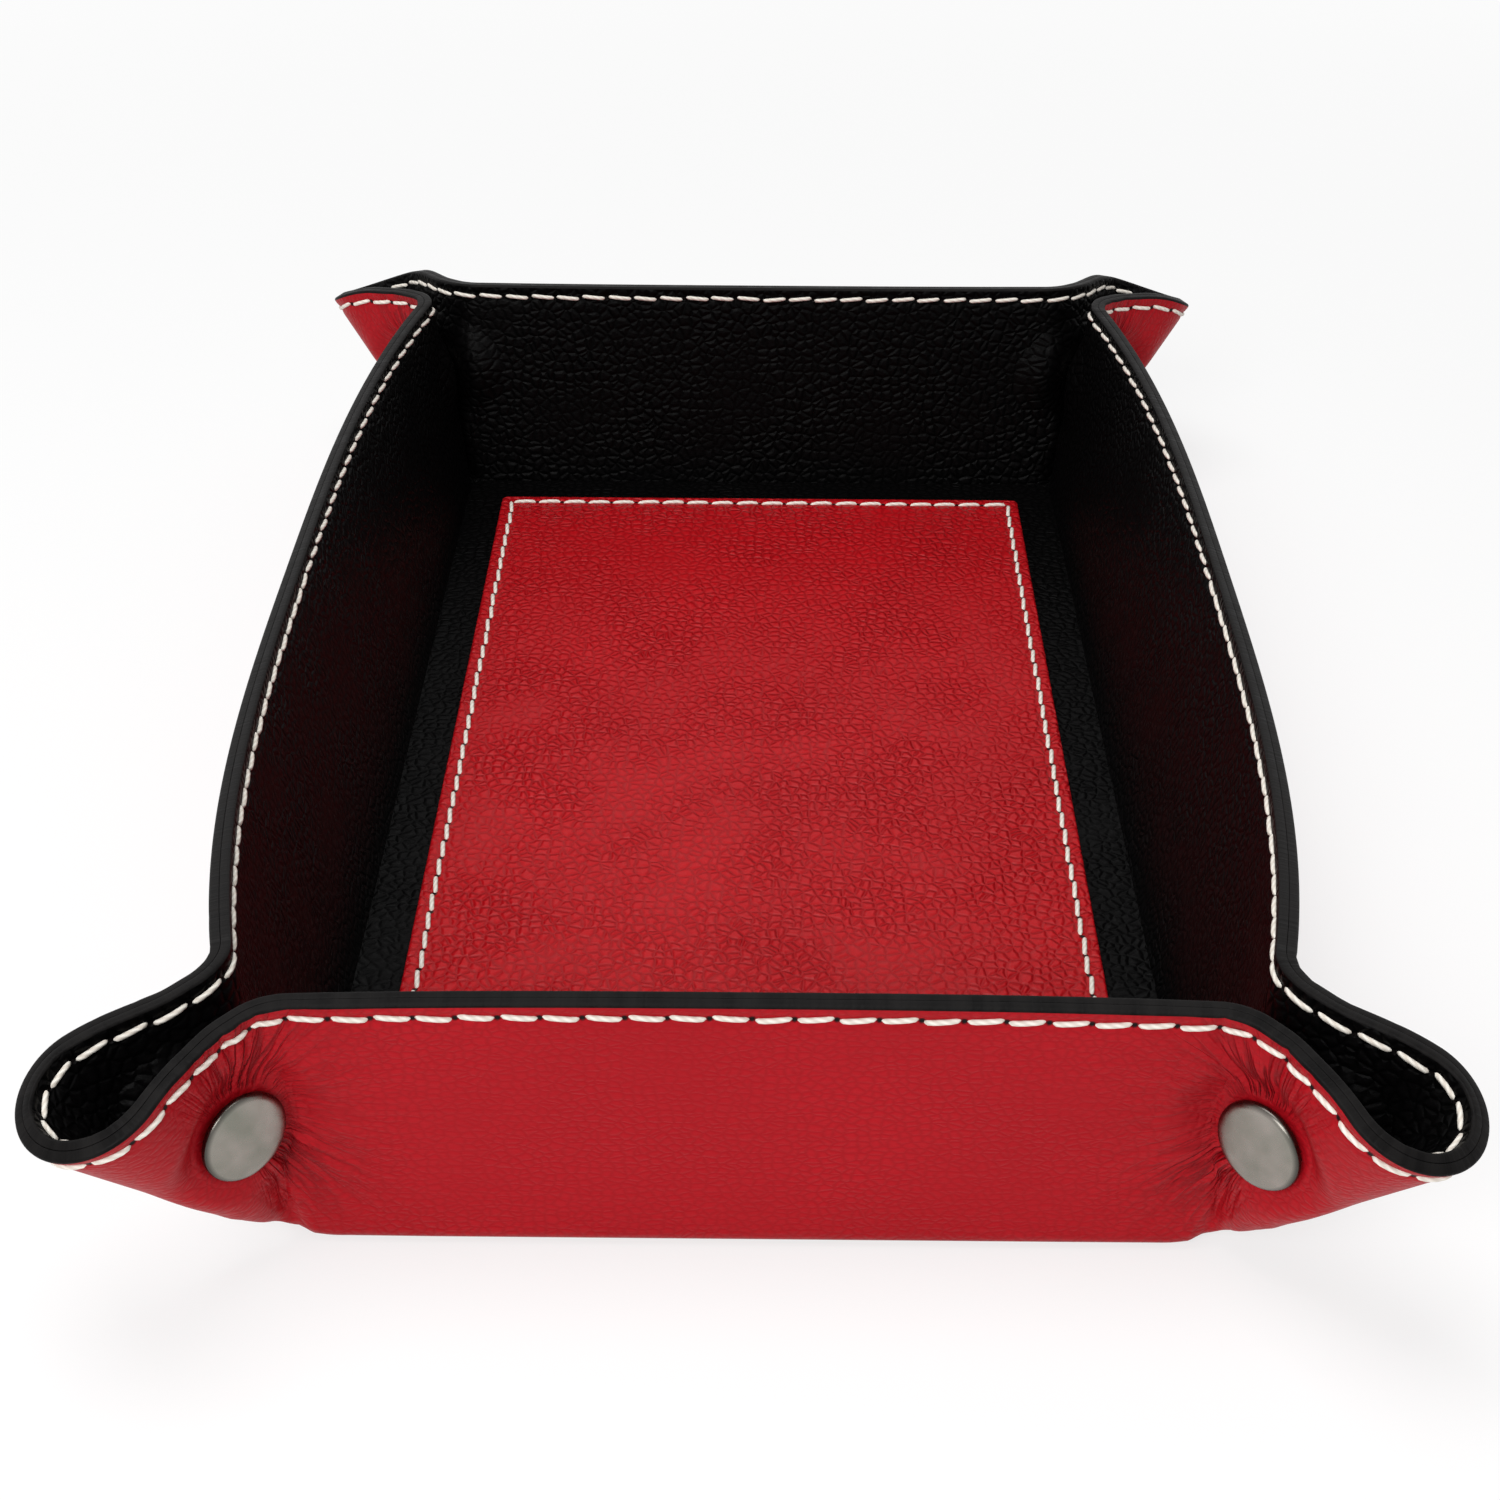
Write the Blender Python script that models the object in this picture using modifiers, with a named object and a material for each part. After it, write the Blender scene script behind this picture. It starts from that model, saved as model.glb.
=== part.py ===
"""A two-ply leather tray whose four corners are pinched into ears by snaps. Metres, +Z up, origin on the
table under the middle of the floor. X runs along the short end walls, Y along the long side walls."""

from math import asin, atan, cos, hypot, pi, radians, sin, sqrt, tan

import bmesh
import bpy
from mathutils import Matrix, Vector

# The flat sheet: the floor between its creases, the walls, and the round corner of the cut
FLOOR_HALF_WIDTH = 0.0642
FLOOR_HALF_LENGTH = 0.1222
WALL_HEIGHT = 0.0443
SHEET_CORNER_RADIUS = 0.031

# Leather
OUTER_PLY = 0.0014
LINING_PLY = 0.0013
CLEARANCE = 0.0003

# The pinched corner: the leather is a cone about the floor's corner, and its bends are angles seen there
SIDE_WALL_FLARE = radians(12.9)
END_WALL_FLARE = radians(-2.2)
PINCH_TURN = radians(12.03)
PRESSED_TURN = radians(2.97)
LOOP_BEND = radians(20.05)
LOOP_SPREAD = radians(13.5)
LOOP_DROP = radians(3.31)
CORNER_RELIEF = 0.003
BOW_POWER = 3

# The snaps: how far up the ear they sit and how the leather lies flat under them
SNAP_REACH = 0.0259
SNAP_ANGLE = radians(13.4)
SNAP_GAP = 0.0033
FLAT_MARGIN = 0.0012
PRESS_SPREAD = 0.0055
CAP_RADIUS = 0.0065
CAP_DEPTH = 0.0011
CAP_DOME = 0.0008
POST_RADIUS = 0.005
POST_DEPTH = 0.0008
POST_DOME = 0.0004
SHANK_RADIUS = 0.0017
SOCKET_RADIUS = 0.0052
SOCKET_WEB = 0.0004
STUD_FLANGE_RADIUS = 0.0046
STUD_FLANGE = 0.0004
STUD_NOSE_RADIUS = 0.0029
TURNED_EDGE = 0.0003

# The folds: each ear leaf turns on a line up from the floor's corner, which leans out and along its wall
SIDE_EAR_AXIS_LEANS = (radians(9.8), radians(10.6))
END_EAR_AXIS_LEANS = (radians(5.6), radians(1.9))

# The floor panel and the sewing
PANEL_SIDE_MARGIN = 0.0089
PANEL_END_MARGIN = 0.0124
PANEL_PLY = 0.0012
PANEL_CORNER_RADIUS = 0.0015
THREAD_RADIUS = 0.00045
SEAM_INSET = 0.0024
FLOOR_CORNER_RADIUS = 0.006

# How finely the pieces are divided: a leaf's columns are counted for each bend of its section from the wall
WALL_COLUMNS = 8
FAN_COLUMNS = 4
LEAF_COLUMNS = (2, 1, 2, 2, 4)
LEATHER_ROWS = 6
CORNER_STEPS = 4
TURNED_STEPS = 16
THREAD_ROUNDNESS = 0
DOME_SHARES = (0, 0.4, 0.75, 1)
SHARP_ANGLE = radians(40)

# Colour, roughness and metallic value of each material
RED = ((0.43, 0.012, 0.02), 0.45, 0)
BLACK = ((0.006, 0.006, 0.006), 0.5, 0)
PANEL = ((0.4, 0.01, 0.018), 0.5, 0)
THREAD = ((0.75, 0.72, 0.68), 0.7, 0)
PEWTER = ((0.22, 0.2, 0.18), 0.3, 1)

# Derived sizes
HALF_GAP = CLEARANCE / 2
MERGE_LIMIT = CLEARANCE / 100
PROBE = WALL_HEIGHT / 1000
OUTER_FACE = HALF_GAP + OUTER_PLY
LINING_FACE = HALF_GAP + LINING_PLY
MEETING_LEVEL = OUTER_PLY + HALF_GAP
PINCHED_HALF_GAP = SNAP_GAP / 2 + LINING_FACE
SKIVED_LENGTH = SNAP_REACH * (LINING_FACE + HALF_GAP) / PINCHED_HALF_GAP
PRESSED_ANGLE = asin(PINCHED_HALF_GAP / SNAP_REACH)
LOOP_TURN = (PRESSED_ANGLE + LOOP_DROP + LOOP_BEND * (1 - cos(LOOP_SPREAD))) / cos(LOOP_SPREAD)
FLAT_RADIUS = CAP_RADIUS + FLAT_MARGIN
PANEL_HALF_WIDTH = FLOOR_HALF_WIDTH - PANEL_SIDE_MARGIN
PANEL_HALF_LENGTH = FLOOR_HALF_LENGTH - PANEL_END_MARGIN
WEB_LEVEL = SNAP_GAP / 2 - CLEARANCE - SOCKET_WEB
NOSE_LEVEL = CLEARANCE - WEB_LEVEL
OVERRUN = 2 * (CAP_DEPTH + CAP_DOME)

# A ply is its two faces' distances out from the face where the plies meet, and its material
OUTER = (HALF_GAP, OUTER_FACE, RED)
LINING = (-HALF_GAP, -LINING_FACE, BLACK)


class Wall:
    """One kind of wall. Its own frame: out from its crease, along it from the middle, up from the floor.

    Near the floor's corner the leather is a cone. A direction in the cone is a tilt along the pinch plane,
    away from straight up, and a swing out of that plane towards this wall."""

    def __init__(self, half_length, flare, ear_axis_leans):
        self.half_length = half_length
        lean_out, lean_along = ear_axis_leans
        self.ear_axis = Vector((tan(lean_out), tan(lean_along), 1)).normalized()
        self.spans = section_spans(flare)
        self.fan = fan_angle(self.spans)
        self.plain_length = half_length - WALL_HEIGHT * tan(self.fan)

    def cone(self, angle, reach):
        """The leather at a sheet angle past the wall's end line and a distance from the floor's corner."""
        run, swing = walk(self.spans, pi / 4 - angle)
        tilt = RIDGE_TILT - run
        ahead = reach * cos(swing) * sin(tilt)
        aside = reach * sin(swing)
        up = reach * cos(swing) * cos(tilt)
        return Vector(((ahead + aside) / sqrt(2), self.half_length + (ahead - aside) / sqrt(2), up))

    def plain_rim(self, along):
        """The rim where the wall stands by itself: it bows out between its two ears."""
        end = self.cone(-self.fan, WALL_HEIGHT / cos(self.fan))
        probe = PROBE / WALL_HEIGHT
        beyond = self.cone(probe - self.fan, WALL_HEIGHT / cos(probe - self.fan))
        slope = (end.x - beyond.x) / (beyond.y - end.y)
        share = abs(along) / self.plain_length
        out = end.x + slope * end.y / BOW_POWER * (1 - share ** BOW_POWER)
        short = sqrt(WALL_HEIGHT ** 2 - end.x ** 2) - end.z
        up = sqrt(WALL_HEIGHT ** 2 - out ** 2) - short * share ** 2
        return Vector((out, end.y * along / self.plain_length, up))

    def ruling(self, along):
        """The foot on the crease and the rim point of the straight line that leaves the rim at `along`."""
        if abs(along) <= self.plain_length:
            return Vector((0, self.half_length * along / self.plain_length, 0)), self.plain_rim(along)
        angle = -atan((self.half_length - abs(along)) / WALL_HEIGHT)
        rim = self.cone(angle, WALL_HEIGHT / cos(angle))
        foot = Vector((0, self.half_length, 0))
        if along < 0:
            rim.y, foot.y = -rim.y, -foot.y
        return foot, rim

    def wall_point(self, along, height):
        foot, rim = self.ruling(along)
        return self.pressed(foot.lerp(rim, height / WALL_HEIGHT))

    def leaf_point(self, angle, reach):
        return self.pressed(self.cone(angle, reach))

    def pressed(self, point):
        """The same point where the snap holds the leather flat, parallel to the pinch plane."""
        side = -1 if point.y < 0 else 1
        along = abs(point.y) - self.half_length
        ahead, aside = (point.x + along) / sqrt(2), (point.x - along) / sqrt(2)
        away = hypot(ahead - SNAP_AHEAD, point.z - SNAP_UP) - FLAT_RADIUS
        share = min(max(away / PRESS_SPREAD, 0), 1)
        aside += (PINCHED_HALF_GAP - aside) * (1 - share * share * (3 - 2 * share))
        out, along = (ahead + aside) / sqrt(2), (ahead - aside) / sqrt(2)
        return Vector((out, side * (self.half_length + along), point.z))


def section_spans(flare):
    """The ear's section from its ridge back to the plain wall, as (bend, length) pairs in radians."""
    ridge = LOOP_TURN * (pi / 2 + LOOP_SPREAD)
    pinch = PINCH_TURN * (pi / 4 + flare)
    return (
        (-1 / LOOP_TURN, ridge),
        (0, LOOP_DROP / sin(LOOP_SPREAD)),
        (1 / LOOP_BEND, LOOP_BEND * LOOP_SPREAD),
        (0, PRESSED_TURN),
        (1 / PINCH_TURN, pinch),
    )


def walk(spans, length):
    """How far a walk of this length from the ridge gets along the pinch plane and away from it."""
    run, swing, heading = 0, 0, pi / 2
    for bend, span in spans:
        step = min(span, length)
        length -= step
        if bend:
            run += (sin(heading + bend * step) - sin(heading)) / bend
            swing += (cos(heading) - cos(heading + bend * step)) / bend
        else:
            run += step * cos(heading)
            swing += step * sin(heading)
        heading += bend * step
    return run + length * cos(heading), swing + length * sin(heading)


def fan_angle(spans):
    """How far before its end line the wall starts to turn towards the pinch."""
    return sum(span for bend, span in spans) - pi / 4


def ridge_tilt(spans):
    """The ridge's tilt at which the plain wall's end keeps its place along the crease."""
    fan = fan_angle(spans)
    run, swing = walk(spans, fan + pi / 4)
    return run + asin((sin(swing) - sqrt(2) * sin(fan)) / cos(swing))


def snap_place():
    """The snap's axis in the pinch plane: ahead of the floor's corner and up from it."""
    run, swing = walk(section_spans(SIDE_WALL_FLARE), pi / 4 - SNAP_ANGLE)
    tilt = RIDGE_TILT - run
    return SNAP_REACH * cos(swing) * sin(tilt), SNAP_REACH * cos(swing) * cos(tilt)


def sheet_reach(angle):
    """From the floor's corner to the sheet's edge, whose corner is round."""
    straight = WALL_HEIGHT - SHEET_CORNER_RADIUS
    if tan(angle) * WALL_HEIGHT <= straight:
        return WALL_HEIGHT / cos(angle)
    middle = straight * (sin(angle) + cos(angle))
    return middle + sqrt(middle ** 2 - 2 * straight ** 2 + SHEET_CORNER_RADIUS ** 2)


RIDGE_TILT = (ridge_tilt(section_spans(SIDE_WALL_FLARE)) + ridge_tilt(section_spans(END_WALL_FLARE))) / 2
SNAP_AHEAD, SNAP_UP = snap_place()
SIDE_WALL = Wall(FLOOR_HALF_LENGTH, SIDE_WALL_FLARE, SIDE_EAR_AXIS_LEANS)
END_WALL = Wall(FLOOR_HALF_WIDTH, END_WALL_FLARE, END_EAR_AXIS_LEANS)


def new_collection(name):
    found = bpy.data.collections.new(name)
    bpy.context.scene.collection.children.link(found)
    return found


def new_material(name, colour, roughness, metallic):
    material = bpy.data.materials.new(name)
    material.use_nodes = True
    shader = material.node_tree.nodes["Principled BSDF"]
    shader.inputs["Base Color"].default_value = (*colour, 1)
    shader.inputs["Roughness"].default_value = roughness
    shader.inputs["Metallic"].default_value = metallic
    return material


def new_object(name, data, finish, parent=None):
    obj = bpy.data.objects.new(name, data)
    PARTS.objects.link(obj)
    data.materials.append(new_material(name, *finish))
    hang(obj, parent)
    return obj


def hang(obj, parent):
    """Parents a piece to its axis without moving it."""
    if parent:
        obj.parent = parent
        obj.matrix_parent_inverse = parent.matrix_world.inverted()


def place_in_tray(wall, sign_x, sign_y):
    """From a wall's own frame to the tray: the quadrant's signs turn it, and the crease sets it out."""
    if wall is SIDE_WALL:
        turn = Matrix(((sign_x, 0, 0), (0, sign_y, 0), (0, 0, 1)))
        crease = Vector((sign_x * FLOOR_HALF_WIDTH, 0, MEETING_LEVEL))
    else:
        turn = Matrix(((0, sign_x, 0), (sign_y, 0, 0), (0, 0, 1)))
        crease = Vector((0, sign_y * FLOOR_HALF_LENGTH, MEETING_LEVEL))
    return turn, crease


def leather_at(point, across, up, offset):
    """A point of the leather, `offset` out from the face where its plies meet."""
    centre = point(across, up)
    normal = (point(across + PROBE, up) - centre).cross(point(across, up + PROBE) - centre).normalized()
    return centre + offset * normal


def skived(centre, wall):
    """The share of its thickness that the leather keeps this near the floor's corner."""
    near = Vector((centre.x, abs(centre.y) - wall.half_length, centre.z)).length
    return min(near / SKIVED_LENGTH, 1)


def leather(name, wall, place, grid, point, ply, parent):
    """One ply of one region: a grid beside the face where the plies meet, extruded to its other face."""
    turn, crease = place
    near_offset, far_offset, finish = ply
    body = bmesh.new()
    far_spot = body.verts.layers.float_vector.new("far")
    rows = []
    for across, heights in grid:
        row = []
        for height in heights:
            share = skived(point(across, height), wall)
            near = leather_at(point, across, height, share * near_offset)
            far = leather_at(point, across, height, share * far_offset)
            vert = body.verts.new(turn @ near + crease)
            vert[far_spot] = turn @ far + crease
            row.append(vert)
        rows.append(row)
    for left, right in zip(rows, rows[1:]):
        for low in range(len(left) - 1):
            body.faces.new((left[low], right[low], right[low + 1], left[low + 1]))
    grown = bmesh.ops.extrude_face_region(body, geom=body.faces[:])
    for item in grown["geom"]:
        if isinstance(item, bmesh.types.BMVert):
            item.co = item[far_spot]
    bmesh.ops.recalc_face_normals(body, faces=body.faces)
    mesh = bpy.data.meshes.new(name)
    body.to_mesh(mesh)
    body.free()
    mesh.shade_smooth()
    mesh.set_sharp_from_angle(angle=SHARP_ANGLE)
    return new_object(name, mesh, finish, parent)


def even(start, stop, count):
    return [start + (stop - start) * step / count for step in range(count + 1)]


def wall_grid(wall):
    """Columns along a wall and the heights in each. Near the floor's corners they keep to the relief."""
    fan = even(wall.plain_length, wall.half_length - HALF_GAP, FAN_COLUMNS)[1:]
    plain = even(-wall.plain_length, wall.plain_length, WALL_COLUMNS)
    columns = [-along for along in reversed(fan)] + plain + fan
    grid = []
    for along in columns:
        foot, rim = wall.ruling(along)
        near = wall.half_length - abs(foot.y)
        relief = sqrt(max(CORNER_RELIEF ** 2 - near ** 2, 0))
        grid.append((along, even(max(HALF_GAP, relief), WALL_HEIGHT, LEATHER_ROWS)))
    return grid


def leaf_grid(wall):
    """Columns across an ear leaf from the wall's end line to the ridge, and the reaches in each."""
    columns = [0]
    edge = -wall.fan
    for (bend, span), count in zip(reversed(wall.spans), LEAF_COLUMNS):
        edge += span
        columns += even(columns[-1], edge, count)[1:]
    return [(angle, even(CORNER_RELIEF, sheet_reach(angle), LEATHER_ROWS)) for angle in columns]


def leaf_place(wall):
    """A leaf's point from its column's angle and reach, kept a half gap inside its two cut edges."""
    def point(angle, reach):
        margin = HALF_GAP / reach
        return wall.leaf_point(margin + angle * (1 - 2 * margin / (pi / 4)), reach)
    return point


def wall_leather(name, wall, sign_x, sign_y, parent):
    place = place_in_tray(wall, sign_x, sign_y)
    grid = wall_grid(wall)
    leather(name + "_outer", wall, place, grid, wall.wall_point, OUTER, parent)
    leather(name + "_lining", wall, place, grid, wall.wall_point, LINING, parent)
    path = [(along, WALL_HEIGHT - SEAM_INSET) for along, heights in grid]
    seam(name + "_stitching", place, wall.wall_point, path, parent)


def leaf_leather(name, wall, sign_x, sign_y, parent):
    place = place_in_tray(wall, sign_x, sign_y)
    point = leaf_place(wall)
    grid = leaf_grid(wall)
    leather(name + "_outer", wall, place, grid, point, OUTER, parent)
    leather(name + "_lining", wall, place, grid, point, LINING, parent)
    path = [(angle, reaches[-1] - SEAM_INSET / cos(angle)) for angle, reaches in grid]
    seam(name + "_stitching", place, point, path, parent)


def seam(name, place, point, path, parent):
    """The rim's thread as it shows on the outer face."""
    turn, crease = place
    offset = OUTER_FACE + CLEARANCE + THREAD_RADIUS
    spots = [turn @ leather_at(point, across, up, offset) + crease for across, up in path]
    thread(name, spots, False, parent)


def thread(name, spots, cyclic, parent=None):
    curve = bpy.data.curves.new(name, "CURVE")
    curve.dimensions = "3D"
    curve.bevel_depth = THREAD_RADIUS
    curve.bevel_resolution = THREAD_ROUNDNESS
    curve.use_fill_caps = not cyclic
    spline = curve.splines.new("POLY")
    spline.points.add(len(spots) - 1)
    spline.use_cyclic_u = cyclic
    for knot, spot in zip(spline.points, spots):
        knot.co = (*spot, 1)
    return new_object(name, curve, THREAD, parent)


def rounded_outline(half_width, half_length, radius):
    """A rectangle with round corners, counterclockwise."""
    points = []
    for quarter, (sign_x, sign_y) in enumerate(((1, 1), (-1, 1), (-1, -1), (1, -1))):
        for turn in even(quarter * pi / 2, (quarter + 1) * pi / 2, CORNER_STEPS):
            x = sign_x * (half_width - radius) + radius * cos(turn)
            y = sign_y * (half_length - radius) + radius * sin(turn)
            points.append(Vector((x, y, 0)))
    return points


def plate(name, outline, bottom, thickness, finish):
    curve = bpy.data.curves.new(name, "CURVE")
    curve.dimensions = "2D"
    curve.fill_mode = "BOTH"
    curve.extrude = thickness / 2
    spline = curve.splines.new("POLY")
    spline.points.add(len(outline) - 1)
    spline.use_cyclic_u = True
    for knot, spot in zip(spline.points, outline):
        knot.co = (spot.x, spot.y, 0, 1)
    obj = new_object(name, curve, finish)
    obj.location.z = bottom + thickness / 2
    return obj


def turned(name, profile, axis, closed, finish=None, parent=None):
    """A profile of (radius, height) pairs turned about an axis matrix's Z."""
    mesh = bpy.data.meshes.new(name)
    count = len(profile)
    edges = [(step, (step + 1) % count) for step in range(count if closed else count - 1)]
    mesh.from_pydata([(radius, 0, height) for radius, height in profile], edges, [])
    if finish:
        obj = new_object(name, mesh, finish)
    else:
        obj = bpy.data.objects.new(name, mesh)
        CUTTERS.objects.link(obj)
        obj.hide_render = True
        obj.display_type = "WIRE"
    obj.matrix_world = axis
    hang(obj, parent)
    screw = obj.modifiers.new("Turn", "SCREW")
    screw.steps = screw.render_steps = TURNED_STEPS
    screw.use_merge_vertices = True
    screw.merge_threshold = MERGE_LIMIT
    return obj


def button(name, axis, parent, radius, depth, rise, tip):
    """A domed disc on the leaf's outer face, with a shank that goes in to `tip`."""
    bottom = PINCHED_HALF_GAP + OUTER_FACE + CLEARANCE
    profile = [(radius * share, bottom + depth + rise * (1 - share * share)) for share in DOME_SHARES]
    profile += [
        (radius, bottom + depth - TURNED_EDGE), (radius, bottom + TURNED_EDGE),
        (radius - TURNED_EDGE, bottom), (SHANK_RADIUS, bottom), (SHANK_RADIUS, tip), (0, tip),
    ]
    return turned(name, profile, axis, False, PEWTER, parent)


def snap_axis(wall, sign_x, sign_y):
    """The snap's axis in the pinch plane, with Z out through this wall's ear leaf."""
    turn, crease = place_in_tray(wall, sign_x, sign_y)
    ahead = Vector((1, 1, 0)) / sqrt(2)
    aside = Vector((1, -1, 0)) / sqrt(2)
    corner = Vector((0, wall.half_length, 0))
    centre = turn @ (corner + SNAP_AHEAD * ahead + Vector((0, 0, SNAP_UP))) + crease
    z_axis = turn @ aside
    x_axis = Vector((0, 0, 1))
    y_axis = z_axis.cross(x_axis)
    return Matrix.Translation(centre) @ Matrix((x_axis, y_axis, z_axis)).transposed().to_4x4()


def socket(name, axis, parent):
    """The half that holds the stud: a ring round its mouth and a web that the cap's shank goes through."""
    top = SNAP_GAP / 2 - CLEARANCE
    bottom = STUD_FLANGE + 2 * CLEARANCE - SNAP_GAP / 2
    bore = STUD_NOSE_RADIUS + CLEARANCE
    hole = SHANK_RADIUS + CLEARANCE
    profile = [
        (hole, top), (SOCKET_RADIUS - TURNED_EDGE, top), (SOCKET_RADIUS, top - TURNED_EDGE),
        (SOCKET_RADIUS, bottom + TURNED_EDGE), (SOCKET_RADIUS - TURNED_EDGE, bottom), (bore, bottom),
        (bore, WEB_LEVEL), (hole, WEB_LEVEL),
    ]
    return turned(name, profile, axis, True, PEWTER, parent)


def stud(name, axis, parent):
    """The half that snaps in: a flange on the lining and a hollow nose with a bulb."""
    top = SNAP_GAP / 2 - CLEARANCE
    shoulder = top - STUD_FLANGE
    hole = SHANK_RADIUS + CLEARANCE
    neck = STUD_NOSE_RADIUS - TURNED_EDGE
    profile = [
        (hole, top), (STUD_FLANGE_RADIUS, top), (STUD_FLANGE_RADIUS, shoulder), (neck, shoulder),
        (neck, (shoulder + NOSE_LEVEL) / 2), (STUD_NOSE_RADIUS, NOSE_LEVEL + 2 * TURNED_EDGE),
        (STUD_NOSE_RADIUS, NOSE_LEVEL + TURNED_EDGE), (neck, NOSE_LEVEL), (hole, NOSE_LEVEL),
    ]
    return turned(name, profile, axis, True, PEWTER, parent)


def snap_cutter(name, radius, inner_radius, axis):
    """Room for the discs on both faces of a leaf and for the shank between them."""
    face = PINCHED_HALF_GAP + OUTER_FACE + HALF_GAP
    back = SNAP_GAP / 2 - HALF_GAP
    hole = SHANK_RADIUS + CLEARANCE
    wide, low = radius + CLEARANCE, inner_radius + CLEARANCE
    profile = [
        (0, face + OVERRUN), (wide, face + OVERRUN), (wide, face), (hole, face),
        (hole, back), (low, back), (low, back - OVERRUN), (0, back - OVERRUN),
    ]
    return turned(name, profile, axis, False)


def cut(names, cutter):
    for name in names:
        modifier = bpy.data.objects[name].modifiers.new("Cut", "BOOLEAN")
        modifier.operation = "DIFFERENCE"
        modifier.solver = "EXACT"
        modifier.object = cutter


def new_axis(name, spot, line, aside, parent=None):
    """An empty on a joint's axis, which is its X."""
    across = line.cross(aside).normalized()
    turn = Matrix((line, across.cross(line), across)).transposed().to_4x4()
    empty = bpy.data.objects.new(name, None)
    PARTS.objects.link(empty)
    empty.empty_display_size = WALL_HEIGHT
    empty.matrix_world = Matrix.Translation(spot) @ turn
    hang(empty, parent)
    bpy.context.view_layer.update()
    return empty


def crease_axis(name, wall, sign_x, sign_y):
    """On the table along the wall's outer lower edge."""
    turn, crease = place_in_tray(wall, sign_x, sign_y)
    spot = turn @ Vector((OUTER_FACE, 0, -MEETING_LEVEL)) + crease
    return new_axis(name, spot, turn @ Vector((0, 1, 0)), turn @ Vector((1, 0, 0)))


def ear_axis(name, wall, sign_x, sign_y, parent):
    turn, crease = place_in_tray(wall, sign_x, sign_y)
    spot = turn @ Vector((0, wall.half_length, 0)) + crease
    return new_axis(name, spot, turn @ wall.ear_axis, turn @ Vector((1, 0, 0)), parent)


def build_floor():
    outer = rounded_outline(FLOOR_HALF_WIDTH - HALF_GAP, FLOOR_HALF_LENGTH - HALF_GAP, FLOOR_CORNER_RADIUS)
    plate("floor_outer", outer, 0, OUTER_PLY, RED)
    inset = LINING_FACE + CLEARANCE
    lining = rounded_outline(FLOOR_HALF_WIDTH - inset, FLOOR_HALF_LENGTH - inset, FLOOR_CORNER_RADIUS)
    plate("floor_lining", lining, OUTER_PLY + CLEARANCE, LINING_PLY, BLACK)
    top = OUTER_PLY + LINING_PLY + 2 * CLEARANCE
    panel = rounded_outline(PANEL_HALF_WIDTH, PANEL_HALF_LENGTH, PANEL_CORNER_RADIUS)
    plate("floor_panel", panel, top, PANEL_PLY, PANEL)
    sewn_half_width, sewn_half_length = PANEL_HALF_WIDTH - SEAM_INSET, PANEL_HALF_LENGTH - SEAM_INSET
    sewn = rounded_outline(sewn_half_width, sewn_half_length, PANEL_CORNER_RADIUS)
    level = Vector((0, 0, top + PANEL_PLY + CLEARANCE + THREAD_RADIUS))
    thread("floor_panel_stitching", [spot + level for spot in sewn], True)


def build_walls():
    axes = {}
    for name, wall, sign_x, sign_y in WALLS:
        axes[name] = crease_axis(name + "_crease", wall, sign_x, sign_y)
        wall_leather(name, wall, sign_x, sign_y, axes[name])
    return axes


def build_corner(end_name, sign_y, side_name, sign_x, axes):
    """One ear: a leaf on each wall, and the snap that holds them together."""
    corner = f"{end_name}_{side_name}"
    walls = {end_name: END_WALL, side_name: SIDE_WALL}
    for which, wall in walls.items():
        leaf = f"{corner}_ear_{which}_leaf"
        axes[leaf] = ear_axis(leaf + "_fold", wall, sign_x, sign_y, axes[which + "_wall"])
        leaf_leather(leaf, wall, sign_x, sign_y, axes[leaf])
    front = snap_axis(END_WALL, sign_x, sign_y)
    back = snap_axis(SIDE_WALL, sign_x, sign_y)
    end_leaf, side_leaf = (f"{corner}_ear_{which}_leaf" for which in walls)
    on_end, on_side = axes[end_leaf], axes[side_leaf]
    button(corner + "_snap_cap", front, on_end, CAP_RADIUS, CAP_DEPTH, CAP_DOME, WEB_LEVEL)
    socket(corner + "_snap_socket", front, on_end)
    stud(corner + "_snap_stud", back, on_side)
    button(corner + "_snap_post", back, on_side, POST_RADIUS, POST_DEPTH, POST_DOME, NOSE_LEVEL + CLEARANCE)
    jobs = (
        (end_leaf, end_name + "_wall", front, CAP_RADIUS, SOCKET_RADIUS),
        (side_leaf, side_name + "_wall", back, POST_RADIUS, STUD_FLANGE_RADIUS),
    )
    for leaf, wall, axis, radius, inner_radius in jobs:
        cutter = snap_cutter(leaf + "_cutter", radius, inner_radius, axis)
        cut([leaf + "_outer", leaf + "_lining", wall + "_outer", wall + "_lining"], cutter)


for old in list(bpy.data.objects):
    bpy.data.objects.remove(old, do_unlink=True)

PARTS = new_collection("Leather tray")
CUTTERS = new_collection("Cutters")
WALLS = (
    ("right_wall", SIDE_WALL, 1, 1),
    ("left_wall", SIDE_WALL, -1, 1),
    ("back_wall", END_WALL, 1, 1),
    ("front_wall", END_WALL, 1, -1),
)

build_floor()
fold_axes = build_walls()
for end_wall, y in (("front", -1), ("back", 1)):
    for side_wall, x in (("left", -1), ("right", 1)):
        build_corner(end_wall, y, side_wall, x, fold_axes)
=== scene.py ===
"""The looks of a two-ply leather tray with pinched, snapped corners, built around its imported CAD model.

Metres, +Z up. A place on the leather is a point (u, v) of the flat sheet, measured from its middle: u runs
across to the side walls and v along to the end walls. formed() says where the snapped tray holds it."""

from math import asin, cos, pi, radians, sin, sqrt, tan

import bmesh
import bpy
import numpy as np
from mathutils import Matrix, Vector


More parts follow.
